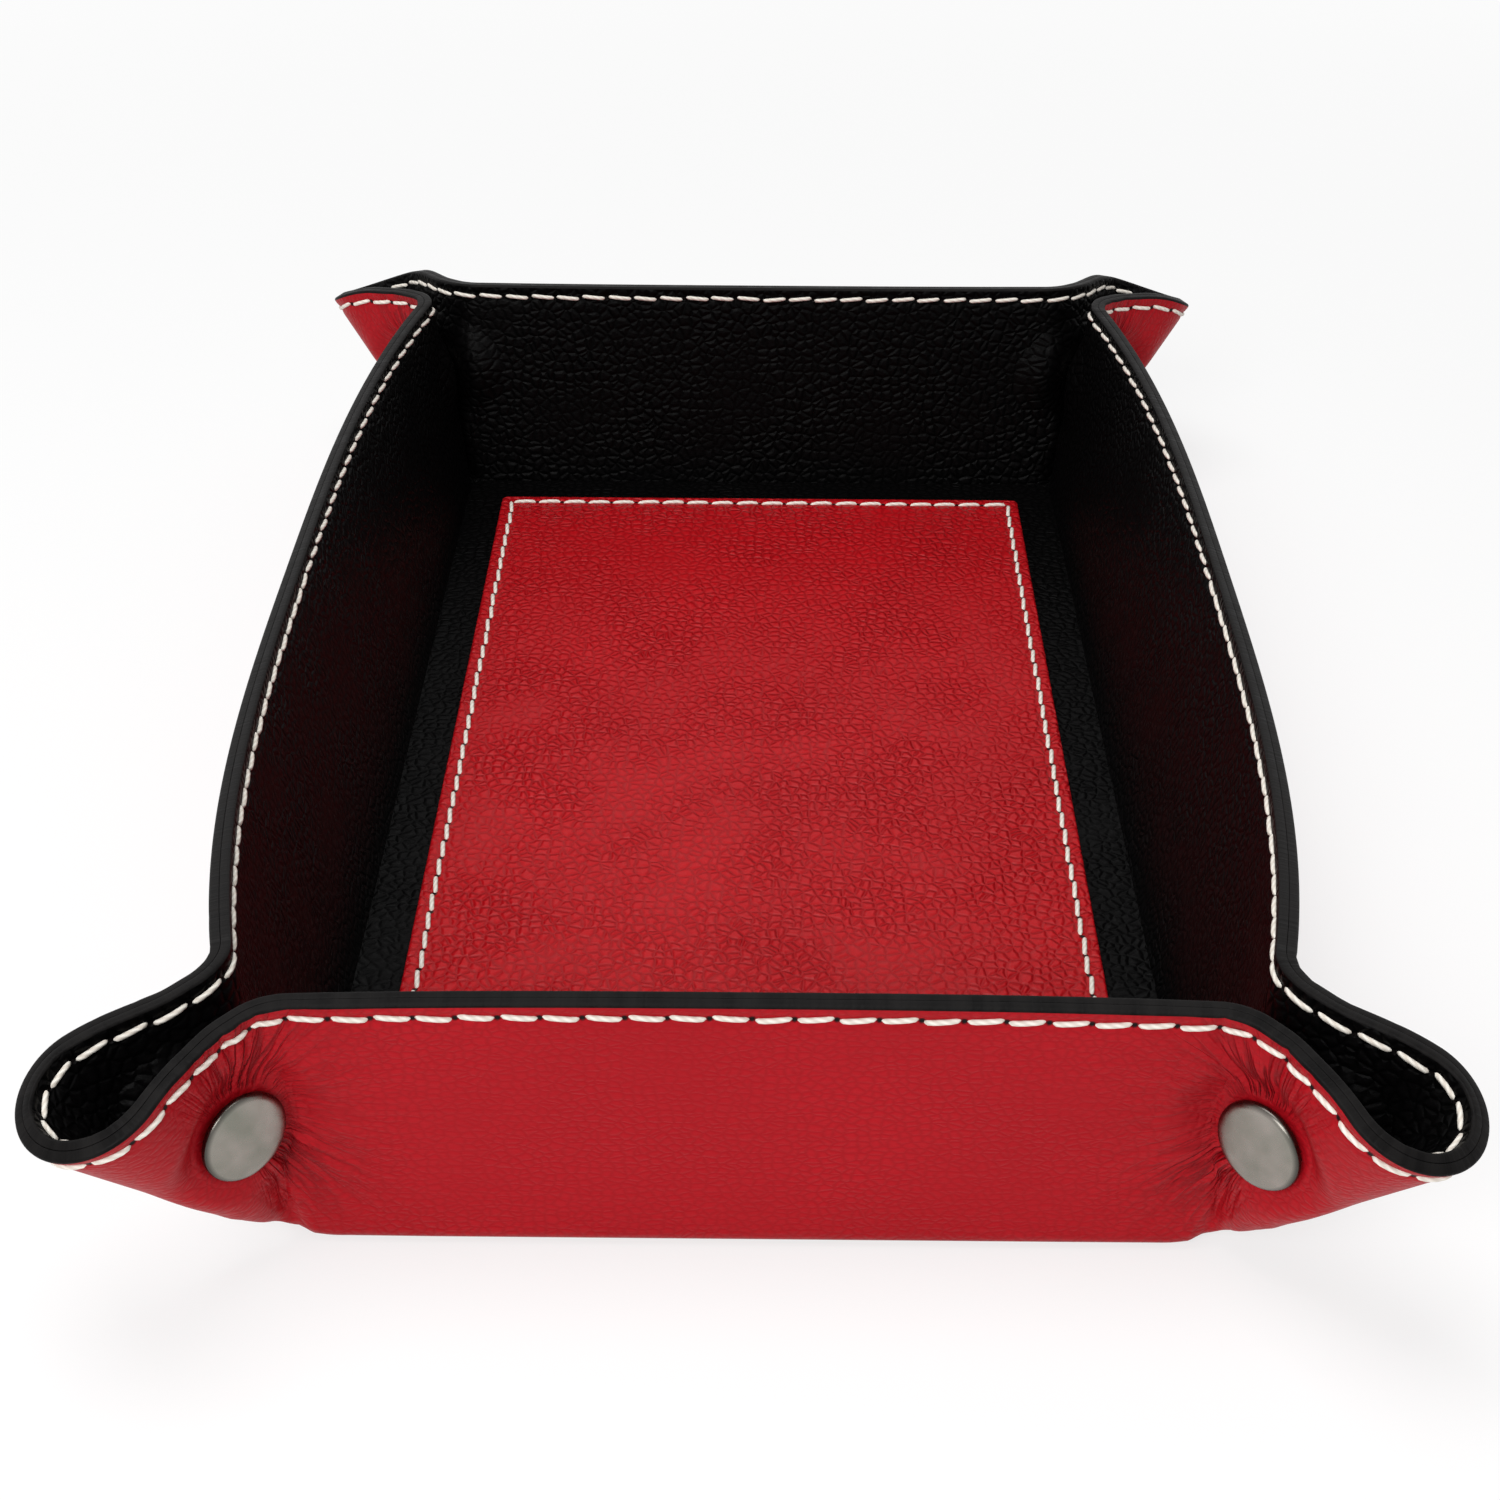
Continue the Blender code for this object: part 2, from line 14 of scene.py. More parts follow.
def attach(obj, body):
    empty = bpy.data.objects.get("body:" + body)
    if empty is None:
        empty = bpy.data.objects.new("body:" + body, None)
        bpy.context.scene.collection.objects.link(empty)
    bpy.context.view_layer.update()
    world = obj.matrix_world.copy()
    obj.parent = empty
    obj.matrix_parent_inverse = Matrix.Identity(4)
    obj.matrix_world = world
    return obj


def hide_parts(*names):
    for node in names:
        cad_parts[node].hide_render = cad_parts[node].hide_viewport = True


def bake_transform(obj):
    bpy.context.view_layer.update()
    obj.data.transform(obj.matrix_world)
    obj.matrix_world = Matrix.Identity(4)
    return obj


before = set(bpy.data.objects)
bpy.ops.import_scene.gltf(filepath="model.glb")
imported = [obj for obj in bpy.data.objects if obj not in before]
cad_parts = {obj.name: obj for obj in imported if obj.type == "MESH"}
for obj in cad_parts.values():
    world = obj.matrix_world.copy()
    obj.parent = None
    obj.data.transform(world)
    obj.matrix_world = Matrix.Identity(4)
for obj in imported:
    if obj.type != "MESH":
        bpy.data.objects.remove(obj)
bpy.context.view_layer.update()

# The flat sheet: the floor between its creases, the walls, and the round corner of the cut
FLOOR_HALF_WIDTH = 0.0642
FLOOR_HALF_LENGTH = 0.1222
WALL_HEIGHT = 0.0443
SHEET_CORNER_RADIUS = 0.031

# Leather
OUTER_PLY = 0.0014
LINING_PLY = 0.0013
CLEARANCE = 0.0003

# The pinched corner: the leather is a cone about the floor's corner, and its bends are angles seen there
SIDE_WALL_FLARE = radians(12.9)
END_WALL_FLARE = radians(-2.2)
PINCH_TURN = radians(12.03)
PRESSED_TURN = radians(2.97)
LOOP_BEND = radians(20.05)
LOOP_SPREAD = radians(13.5)
LOOP_DROP = radians(3.31)
BOW_POWER = 3

# The snaps
SNAP_REACH = 0.0259
SNAP_ANGLE = radians(13.4)
SNAP_GAP = 0.0033
FLAT_MARGIN = 0.0012
PRESS_SPREAD = 0.0055
CAP_RADIUS = 0.0065
CAP_DEPTH = 0.0011
CAP_DOME = 0.0008
POST_RADIUS = 0.005
POST_DEPTH = 0.0008
POST_DOME = 0.0004
SHANK_RADIUS = 0.0017
SOCKET_RADIUS = 0.0052
SOCKET_WEB = 0.0004
STUD_FLANGE_RADIUS = 0.0046
STUD_FLANGE = 0.0004
STUD_NOSE_RADIUS = 0.0029
TURNED_EDGE = 0.0003

# The floor panel and the sewing
PANEL_SIDE_MARGIN = 0.0089
PANEL_END_MARGIN = 0.0124
PANEL_PLY = 0.0012
PANEL_CORNER_RADIUS = 0.0015
THREAD_RADIUS = 0.00045
SEAM_INSET = 0.0024
STITCHES_PER_QUARTER = 47
PANEL_STITCH = 0.0055

# Softness that only the looks have: rounded creases, painted edges, dents
CREASE_ROUNDING = 0.0011
CORNER_ROUNDING = 0.0021
CORNER_HOLD = 0.002
CORNER_FADE = 0.009
WINDOW_SAMPLES = 8
STRIP_WIDTH = 0.0115
GLUE_LINE = 0.00001
EDGE_ROUND = 0.00045
GROOVE_ROUND = 0.00012
THINNEST_SHARE = 0.35
SKIVE_GROWTH = 3
PROBE = 0.0004
MERGE_DISTANCE = 0.0000001
NOISE_CELLS = 64

# Derived sizes
HALF_GAP = CLEARANCE / 2
OUTER_FACE = HALF_GAP + OUTER_PLY
LINING_FACE = HALF_GAP + LINING_PLY
MEETING_LEVEL = OUTER_PLY + HALF_GAP
PINCHED_HALF_GAP = SNAP_GAP / 2 + LINING_FACE
SKIVED_LENGTH = SNAP_REACH * (LINING_FACE + HALF_GAP) / PINCHED_HALF_GAP
PRESSED_ANGLE = asin(PINCHED_HALF_GAP / SNAP_REACH)
LOOP_TURN = (PRESSED_ANGLE + LOOP_DROP + LOOP_BEND * (1 - cos(LOOP_SPREAD))) / cos(LOOP_SPREAD)
FLAT_RADIUS = CAP_RADIUS + FLAT_MARGIN
PANEL_HALF_WIDTH = FLOOR_HALF_WIDTH - PANEL_SIDE_MARGIN
PANEL_HALF_LENGTH = FLOOR_HALF_LENGTH - PANEL_END_MARGIN
WEB_LEVEL = SNAP_GAP / 2 - CLEARANCE - SOCKET_WEB
NOSE_LEVEL = CLEARANCE - WEB_LEVEL
FLOOR_TOP = MEETING_LEVEL + LINING_FACE
PANEL_TOP = OUTER_PLY + LINING_PLY + 2 * CLEARANCE + PANEL_PLY


def smooth(share):
    share = np.clip(share, 0, 1)
    return share * share * (3 - 2 * share)


def noise(x, y, seed):
    """Smooth random values from 0 to 1 over the plane."""
    table = np.random.RandomState(seed).rand(NOISE_CELLS, NOISE_CELLS)
    cell_x, cell_y = np.floor(x).astype(int), np.floor(y).astype(int)
    share_x, share_y = smooth(x - cell_x), smooth(y - cell_y)
    left, right = cell_x % NOISE_CELLS, (cell_x + 1) % NOISE_CELLS
    low, high = cell_y % NOISE_CELLS, (cell_y + 1) % NOISE_CELLS
    bottom = table[left, low] * (1 - share_x) + table[right, low] * share_x
    top = table[left, high] * (1 - share_x) + table[right, high] * share_x
    return bottom * (1 - share_y) + top * share_y


def hump(share):
    """1 at 0, and nearly nothing past 2 on either side."""
    return np.exp(-(share ** 2))


def ridged(value, sharpness):
    """Turns smooth noise into thin creases, 1 along each crease."""
    return (1 - np.abs(2 * value - 1)) ** sharpness


def unit(vectors):
    return vectors / np.linalg.norm(vectors, axis=-1, keepdims=True)


def past_creases(u, v):
    """How far a place is past the side wall's crease, and past the end wall's."""
    return np.abs(u) - FLOOR_HALF_WIDTH, np.abs(v) - FLOOR_HALF_LENGTH


def section_spans(flare):
    """The ear's section from its ridge back to the plain wall, as (bend, length) pairs in radians."""
    return (
        (-1 / LOOP_TURN, LOOP_TURN * (pi / 2 + LOOP_SPREAD)),
        (0, LOOP_DROP / sin(LOOP_SPREAD)),
        (1 / LOOP_BEND, LOOP_BEND * LOOP_SPREAD),
        (0, PRESSED_TURN),
        (1 / PINCH_TURN, PINCH_TURN * (pi / 4 + flare)),
    )


def walk(spans, length):
    """How far a walk of this length from the ridge gets along the pinch plane and away from it."""
    left = length + 0.0
    run, swing, heading = left * 0, left * 0, left * 0 + pi / 2
    for bend, span in spans:
        step = np.minimum(span, left)
        left = left - step
        turned_to = heading + bend * step
        if bend:
            run = run + (np.sin(turned_to) - np.sin(heading)) / bend
            swing = swing + (np.cos(heading) - np.cos(turned_to)) / bend
        else:
            run = run + step * np.cos(heading)
            swing = swing + step * np.sin(heading)
        heading = turned_to
    return run + left * np.cos(heading), swing + left * np.sin(heading)


def fan_angle(spans):
    """How far before its end line the wall starts to turn towards the pinch."""
    return sum(span for bend, span in spans) - pi / 4


def ridge_tilt(spans):
    """The ridge's tilt at which the plain wall's end keeps its place along the crease."""
    fan = fan_angle(spans)
    run, swing = walk(spans, fan + pi / 4)
    return run + asin((sin(swing) - sqrt(2) * sin(fan)) / cos(swing))


def snap_place():
    """The snap's axis in the pinch plane: ahead of the floor's corner and up from it."""
    run, swing = walk(section_spans(SIDE_WALL_FLARE), pi / 4 - SNAP_ANGLE)
    tilt = RIDGE_TILT - run
    return SNAP_REACH * cos(swing) * sin(tilt), SNAP_REACH * cos(swing) * cos(tilt)


def sheet_reach(angle):
    """From the floor's corner to the sheet's edge, whose corner is round."""
    straight = WALL_HEIGHT - SHEET_CORNER_RADIUS
    middle = straight * (np.sin(angle) + np.cos(angle))
    to_arc = middle + np.sqrt(middle ** 2 - 2 * straight ** 2 + SHEET_CORNER_RADIUS ** 2)
    return np.where(np.tan(angle) * WALL_HEIGHT <= straight, WALL_HEIGHT / np.cos(angle), to_arc)


RIDGE_TILT = (ridge_tilt(section_spans(SIDE_WALL_FLARE)) + ridge_tilt(section_spans(END_WALL_FLARE))) / 2
SNAP_AHEAD, SNAP_UP = snap_place()


class Wall:
    """One kind of wall. Its own frame: out from its crease, along it from the middle, up from the floor."""

    def __init__(self, crease, half_length, flare, leaf_blend):
        self.crease = crease
        self.half_length = half_length
        self.leaf_blend = leaf_blend
        self.spans = section_spans(flare)
        self.fan = fan_angle(self.spans)
        self.plain_length = half_length - WALL_HEIGHT * tan(self.fan)
        self.rim_end = self.cone(-self.fan, WALL_HEIGHT / cos(self.fan))
        probe = PROBE / WALL_HEIGHT
        beyond = self.cone(probe - self.fan, WALL_HEIGHT / cos(probe - self.fan))
        self.slope = (self.rim_end[0] - beyond[0]) / (beyond[1] - self.rim_end[1])

    def cone(self, angle, reach):
        """The leather at a sheet angle past the wall's end line and a distance from the floor's corner."""
        run, swing = walk(self.spans, pi / 4 - angle)
        tilt = RIDGE_TILT - run
        ahead, up = reach * np.cos(swing) * np.sin(tilt), reach * np.cos(swing) * np.cos(tilt)
        return self.from_pinch(ahead, reach * np.sin(swing), up)

    def from_pinch(self, ahead, aside, up):
        """A point from its place ahead along the pinch plane, aside from it and up."""
        return np.stack(((ahead + aside) / sqrt(2), self.half_length + (ahead - aside) / sqrt(2), up), -1)

    def plain_rim(self, share):
        """The rim where the wall stands by itself: it bows out between its two ears."""
        end_out, end_along, end_up = self.rim_end
        out = end_out + self.slope * end_along / BOW_POWER * (1 - np.abs(share) ** BOW_POWER)
        short = sqrt(WALL_HEIGHT ** 2 - end_out ** 2) - end_up
        up = np.sqrt(WALL_HEIGHT ** 2 - out ** 2) - short * share ** 2
        return np.stack((out, end_along * share, up), -1)

    def point(self, along, height):
        lean = self.half_length / self.plain_length - 1
        share = along / (1 + lean * (1 - height / WALL_HEIGHT)) / self.plain_length
        plain = np.clip(share, -1, 1)
        foot = np.stack((plain * 0, self.half_length * plain, plain * 0), -1)
        ruled = foot + (self.plain_rim(plain) - foot) * (height / WALL_HEIGHT)[..., None]
        angle = np.arctan2(along - self.half_length, height)
        conical = self.cone(angle, np.hypot(along - self.half_length, height))
        return self.pressed(np.where((share <= 1)[..., None], ruled, conical))

    def pressed(self, point):
        """The same point, held flat by the snap where it is near and not on the ear's ridge."""
        out, along, up = point[..., 0], point[..., 1] - self.half_length, point[..., 2]
        ahead, aside = (out + along) / sqrt(2), (out - along) / sqrt(2)
        away = np.hypot(ahead - SNAP_AHEAD, up - SNAP_UP) - FLAT_RADIUS
        hold = (1 - smooth(away / PRESS_SPREAD)) * smooth(2 * aside / PINCHED_HALF_GAP)
        return self.from_pinch(ahead, aside + (PINCHED_HALF_GAP - aside) * hold, up)


# A leaf's blend is how far the turn from a wall to its ear leaf is spread over the leather
SIDE_WALL = Wall(FLOOR_HALF_WIDTH, FLOOR_HALF_LENGTH, SIDE_WALL_FLARE, 0.009)
END_WALL = Wall(FLOOR_HALF_LENGTH, FLOOR_HALF_WIDTH, END_WALL_FLARE, 0.006)


def folded(u, v):
    """Where the first quadrant of the sheet lies, with its creases still sharp."""
    past_side, past_end = u - FLOOR_HALF_WIDTH, v - FLOOR_HALF_LENGTH
    on_side = (past_side > 0) & (past_end <= past_side)
    on_end = (past_end > 0) & ~on_side
    side = SIDE_WALL.point(v, past_side) + (FLOOR_HALF_WIDTH, 0, MEETING_LEVEL)
    end = END_WALL.point(u, past_end)[..., (1, 0, 2)] + (0, FLOOR_HALF_LENGTH, MEETING_LEVEL)
    floor = np.stack((u, v, u * 0 + MEETING_LEVEL), -1)
    return np.where(on_side[..., None], side, np.where(on_end[..., None], end, floor))


def greater(first, second):
    """The greater of two widths, with a soft change from one to the other."""
    return (first ** 4 + second ** 4) ** 0.25


def window(place, half_width):
    shares = (np.arange(WINDOW_SAMPLES) + 0.5) / WINDOW_SAMPLES * 2 - 1
    return place[..., None] + half_width[..., None] * shares


def formed_in_quadrant(u, v):
    """folded() with soft creases: the mean over a window that closes away from the creases."""
    past_side, past_end = u - FLOOR_HALF_WIDTH, v - FLOOR_HALF_LENGTH
    from_corner = np.hypot(past_side, past_end)
    from_side = np.where(past_end < 0, np.abs(past_side), from_corner)
    from_end = np.where(past_side < 0, np.abs(past_end), from_corner)
    corner = CORNER_ROUNDING * (1 - smooth((from_corner - CORNER_HOLD) / (CORNER_FADE - CORNER_HOLD)))
    half_u = greater(CREASE_ROUNDING * (1 - smooth(from_side / CREASE_ROUNDING - 1)), corner)
    half_v = greater(CREASE_ROUNDING * (1 - smooth(from_end / CREASE_ROUNDING - 1)), corner)
    point = folded(u, v)
    soft_u, soft_v = half_u > 0, half_v > 0
    only_u, only_v, both = soft_u & ~soft_v, soft_v & ~soft_u, soft_u & soft_v
    if only_u.any():
        across = window(u[only_u], half_u[only_u])
        point[only_u] = folded(across, v[only_u][:, None] + across * 0).mean(1)
    if only_v.any():
        across = window(v[only_v], half_v[only_v])
        point[only_v] = folded(u[only_v][:, None] + across * 0, across).mean(1)
    if both.any():
        across = window(u[both], half_u[both])[:, :, None]
        up = window(v[both], half_v[both])[:, None, :]
        point[both] = folded(across + up * 0, up + across * 0).mean((1, 2))
    return point


def formed(u, v):
    """The face where the plies meet and its normal towards the lining, anywhere on the sheet."""
    u, v = np.broadcast_arrays(u, v)
    signs = np.stack((np.where(u < 0, -1, 1), np.where(v < 0, -1, 1), np.ones(u.shape)), -1)
    u, v = np.abs(u), np.abs(v)
    point = formed_in_quadrant(u, v)
    across = formed_in_quadrant(u + PROBE, v) - formed_in_quadrant(u - PROBE, v)
    along = formed_in_quadrant(u, v + PROBE) - formed_in_quadrant(u, v - PROBE)
    return point * signs, unit(np.cross(across, along)) * signs


def thickness_share(u, v):
    """Near the floor's corners the leather is skived, so that it can fold on itself."""
    past_side, past_end = past_creases(u, v)
    away = np.hypot(past_side, past_end) + SKIVE_GROWTH * np.maximum(-np.minimum(past_side, past_end), 0)
    return np.clip(away / SKIVED_LENGTH, THINNEST_SHARE, 1)


def rim_distance(u, v):
    """From a point of the sheet in to its cut edge."""
    over_u = np.abs(u) - (FLOOR_HALF_WIDTH + WALL_HEIGHT - SHEET_CORNER_RADIUS)
    over_v = np.abs(v) - (FLOOR_HALF_LENGTH + WALL_HEIGHT - SHEET_CORNER_RADIUS)
    outside = np.hypot(np.maximum(over_u, 0), np.maximum(over_v, 0))
    return SHEET_CORNER_RADIUS - outside - np.minimum(np.maximum(over_u, over_v), 0)


# The seam runs along the sheet's edge, round each corner. A quarter of it starts at an end wall's middle.
SEAM_RADIUS = SHEET_CORNER_RADIUS - SEAM_INSET
ARC_START = FLOOR_HALF_WIDTH + WALL_HEIGHT - SHEET_CORNER_RADIUS
ARC_END = FLOOR_HALF_LENGTH + WALL_HEIGHT - SHEET_CORNER_RADIUS
STITCH_PITCH = (ARC_START + pi / 2 * SEAM_RADIUS + ARC_END) / STITCHES_PER_QUARTER


def seam_spot(along, aside):
    """The sheet's first quadrant at a length along the seam and a distance from it towards the edge."""
    bearing = np.clip((along - ARC_START) / SEAM_RADIUS, 0, pi / 2)
    before_arc = np.minimum(along - ARC_START, 0)
    after_arc = np.maximum(along - ARC_START - pi / 2 * SEAM_RADIUS, 0)
    reach = SEAM_RADIUS + aside
    return ARC_START + before_arc + reach * np.sin(bearing), ARC_END - after_arc + reach * np.cos(bearing)


def seam_place(u, v):
    """The length along the seam to a point of the sheet."""
    over_u, over_v = np.abs(u) - ARC_START, np.abs(v) - ARC_END
    on_side = over_u > over_v
    round_corner = np.arctan2(over_u, over_v)
    bearing = np.where(np.minimum(over_u, over_v) > 0, round_corner, np.where(on_side, pi / 2, 0))
    straight = np.where(on_side, -np.minimum(over_v, 0), np.minimum(over_u, 0))
    return ARC_START + SEAM_RADIUS * bearing + straight


# Dents: how far a visible face is pressed in
SEAM_DIP = 0.0003
SEAM_DIP_WIDTH = 0.0008
DIMPLE_DEPTH = 0.0003
DIMPLE_LIP = 0.0012
PUCKER_DEPTH = 0.0008
PUCKER_REACH = 0.014
PUCKER_SPACING = radians(9)
PUCKER_LENGTH = 0.012
LOOP_PUCKER_DEPTH = 0.00016
LOOP_PUCKER_SPACING = 0.0021
LOOP_PUCKER_REACH = 0.0035
PUCKER_SHARPNESS = 2.5
LOOP_PUCKER_SHARPNESS = 2
SWIRL = 0.25
LOOP_FADE = radians(30)
LOOP_FADE_START = 0.2

# The bearings at a snap about which the leather puckers, how far about them, and how hard
PUCKER_FANS = ((radians(78), radians(40), 1), (radians(-50), radians(28), 1), (radians(5), radians(26), 0.25))

# Where each kind of dent starts in the random values, and which values it takes
SWIRL_START, PUCKER_START, LOOP_START = 40, 30, 20
SWIRL_SEED, PUCKER_SEED, LOOP_SEED = 5, 11, 3
LEFT_SHIFT, FRONT_SHIFT, SIDE_SHIFT = 17.3, 31.7, 7.9


def corner_shift(u, v):
    """A number that differs from corner to corner, so that no two pucker alike."""
    return np.where(u < 0, LEFT_SHIFT, 0) + np.where(v < 0, FRONT_SHIFT, 0)


def about_snap(u, v):
    """Bearing and distance from the nearer snap hole of a corner, and how hard the leather puckers there.

    The bearing is 0 towards the wall's middle and a right angle towards the rim."""
    past_side, past_end = past_creases(u, v)
    past, along = np.maximum(past_side, past_end), np.minimum(past_side, past_end)
    rim_way = past - SNAP_REACH * cos(SNAP_ANGLE)
    wall_way = SNAP_REACH * sin(SNAP_ANGLE) - along
    bearing, away = np.arctan2(rim_way, wall_way), np.hypot(rim_way, wall_way)
    fans = sum(strength * hump((bearing - middle) / spread) for middle, spread, strength in PUCKER_FANS)
    fade = smooth((away - CAP_RADIUS) / DIMPLE_LIP) * hump((away - CAP_RADIUS) / PUCKER_REACH)
    return bearing, away, fans * fade


def seam_dent(u, v):
    return SEAM_DIP * hump((rim_distance(u, v) - SEAM_INSET) / SEAM_DIP_WIDTH)


def outer_dents(u, v):
    """The seam's channel, and the dimple and puckers about each snap."""
    bearing, away, strength = about_snap(u, v)
    past_side, past_end = past_creases(u, v)
    shift = corner_shift(u, v) + np.where(past_side > past_end, SIDE_SHIFT, 0)
    swirl = bearing + SWIRL * noise(away / PUCKER_LENGTH + shift, bearing * 2 + SWIRL_START, SWIRL_SEED)
    lines = noise(swirl / PUCKER_SPACING + PUCKER_START + shift, away / PUCKER_LENGTH + shift, PUCKER_SEED)
    puckers = PUCKER_DEPTH * strength * ridged(lines, PUCKER_SHARPNESS)
    return seam_dent(u, v) + puckers + DIMPLE_DEPTH * (1 - smooth((away - CAP_RADIUS) / DIMPLE_LIP))


def lining_dents(u, v):
    """The seam's channel, and the puckers along the rim where each ear loops round."""
    inset, shift = rim_distance(u, v), corner_shift(u, v)
    past_side, past_end = past_creases(u, v)
    bearing = np.arctan2(past_end, past_side)
    looped = smooth((pi / 4 - np.abs(bearing - pi / 4)) / LOOP_FADE - LOOP_FADE_START)
    place = bearing * WALL_HEIGHT / LOOP_PUCKER_SPACING + LOOP_START + shift
    lines = noise(place, inset / LOOP_PUCKER_REACH + shift, LOOP_SEED)
    strength = LOOP_PUCKER_DEPTH * looped * hump(inset / LOOP_PUCKER_REACH)
    return seam_dent(u, v) + strength * ridged(lines, LOOP_PUCKER_SHARPNESS)


# A ply's visible face and glued face lie this far from where the plies meet, towards the lining
OUTER = (-OUTER_FACE, -GLUE_LINE, outer_dents)
LINING = (LINING_FACE, GLUE_LINE, lining_dents)


def laid(u, v, offset, dent):
    """Points at an offset from where the plies meet, with the visible face pressed in by dent."""
    point, normal = formed(u, v)
    side = -1 if np.mean(offset) < 0 else 1
    return point + normal * (offset * thickness_share(u, v) - side * dent)[..., None]


def face_normal(u, v, face, dents):
    """The normal of a visible face, dents and all, pointing out of the leather."""
    def spot(u, v):
        return laid(u, v, u * 0 + face, dents(u, v))
    across = spot(u + PROBE, v) - spot(u - PROBE, v)
    along = spot(u, v + PROBE) - spot(u, v - PROBE)
    return unit(np.cross(across, along)) * (-1 if face < 0 else 1)


# The spread of a noise texture's values: nearly all of them, and the middle that gives more contrast
WIDE = (0.3, 0.7)
NARROW = (0.35, 0.65)

HOLE_RADIUS = 0.00028
# The needle holes' colour: painted shade.
HOLE_PAINTED_SHADE = (0.004, 0.003, 0.003)
FINE_CREASE_TURN = radians(6)
FINE_CREASE_LENGTH = 0.012
FINE_CREASE_DEPTH = 0.0003
FINE_CREASE_WIDTH = 0.09
# The share of the leather's colour left in the fine creases: painted shade.
FINE_CREASE_PAINTED_SHADE = 0.3
FINE_CREASE_DISTORTION = 0.35
STREAK_SIZE = 0.0011
STREAK_STRETCH = (0.16, 1, 1)
STREAK_DEPTH = 0.00012
PORE_SHARE = 0.35
PORE_DEPTH_SHARE = 0.3
PATCH_SIZE = 0.028
BOLD_SIZE = 0.017
WORN_SHADE = 0.86
LEAST_BOLD = 0.35
SMOOTHER, ROUGHER = 0.06, 0.08
SEED_STEP = 0.1
PEBBLE_RANDOMNESS = 0.95
PEBBLE_WOBBLE = 0.9
PEBBLE_EDGE = 0.42
PEBBLE_DOME = 0.6

# Grain: the pebbles' size, their depth, the painted shade in the valleys between them, and their stretch
OUTER_GRAIN = (0.0011, 0.00007, 0.8, (0.7, 1, 1))
LINING_GRAIN = (0.0019, 0.00024, 0.4, (1, 1, 1))
PANEL_GRAIN = (0.0017, 0.00034, 0.72, (1, 0.85, 1))

EDGE_PAINT_COLOURS = ((0.003, 0.0026, 0.0026, 1), (0.009, 0.0082, 0.008, 1))
EDGE_WEAR_SIZE = 0.0024
EDGE_WEAR_SPREAD = (0.35, 0.7)
EDGE_ROUGHNESS = (0.42, 0.6)
EDGE_FIBRE_SIZE = 0.0007
EDGE_FIBRE_DEPTH = 0.00012
# The thread's colour in the grooves between strands, which is painted shade, and on the strands.
THREAD_PAINTED_SHADE_AND_COLOUR = ((0.66, 0.6, 0.53, 1), (0.82, 0.78, 0.71, 1))
THREAD_STRANDS = 2.0
STRAND_DEPTH = 0.00006
METAL_COLOURS = ((0.2244, 0.222, 0.189, 1), (0.33, 0.3, 0.27, 1))
# The colour that darkens the snaps' rolled rims, where on the radius it comes in, and how strongly: painted
# shade.
METAL_RIM_PAINTED_SHADE = (0.02, 0.019, 0.018, 1)
METAL_PAINTED_SHADE_SPREAD = (0.88, 0.97)
METAL_PAINTED_SHADE_SHARE = 0.75
METAL_CLOUD_SIZE = 0.006
METAL_HAZE_SIZE = 0.0016
METAL_ROUGHNESS = (0.22, 0.34)


def new_material(name):
    material = bpy.data.materials.new(name)
    material.use_nodes = True
    return material, material.node_tree, material.node_tree.nodes["Principled BSDF"]


def put(node, inputs):
    """Sets a node's inputs, or links them."""
    for key, value in inputs.items():
        if isinstance(value, bpy.types.NodeSocket):
            value.id_data.links.new(value, node.inputs[key])
        else:
            node.inputs[key].default_value = value


def add(tree, kind, inputs, **settings):
    """A node with its settings and inputs. The short functions below find the tree in their first socket."""
    node = tree.nodes.new(kind)
    for key, value in settings.items():
        setattr(node, key, value)
    put(node, inputs)
    return node


def parts_of(tree, name):
    """The X, Y and Z of a point attribute."""
    spot = add(tree, "ShaderNodeAttribute", {}, attribute_name=name)
    return add(tree, "ShaderNodeSeparateXYZ", {0: spot.outputs["Vector"]}).outputs


def calc(operation, first, second=0.0):
    return add(first.id_data, "ShaderNodeMath", {0: first, 1: second}, operation=operation).outputs[0]


def calc_vector(operation, first, second):
    return add(first.id_data, "ShaderNodeVectorMath", {0: first, 1: second}, operation=operation).outputs[0]


def sheet_vector(tree, stretch=(1, 1, 1)):
    """The place on the flat sheet, in metres, stretched."""
    spot = add(tree, "ShaderNodeAttribute", {}, attribute_name="sheet")
    return calc_vector("MULTIPLY", spot.outputs["Vector"], stretch)


def noise_texture(vector, size, detail=3.0, distortion=0.0, channel="Fac"):
    inputs = {"Vector": vector, "Scale": 1 / size, "Detail": detail, "Distortion": distortion}
    return add(vector.id_data, "ShaderNodeTexNoise", inputs).outputs[channel]


def map_range(value, spread, low, high, kind="LINEAR"):
    """The value, with the spread's ends turned into low and high."""
    inputs = {0: value, 1: spread[0], 2: spread[1], 3: low, 4: high}
    return add(value.id_data, "ShaderNodeMapRange", inputs, interpolation_type=kind).outputs["Result"]


def mix_colours(share, first, second):
    return add(share.id_data, "ShaderNodeMix", {0: share, 6: first, 7: second}, data_type="RGBA").outputs[2]


def bump(height, depth, under=None):
    inputs = {"Height": height, "Distance": depth, "Strength": 1.0}
    if under:
        inputs["Normal"] = under
    return add(height.id_data, "ShaderNodeBump", inputs).outputs["Normal"]


def shade(colour, share=1):
    return (*[channel * share for channel in colour], 1)


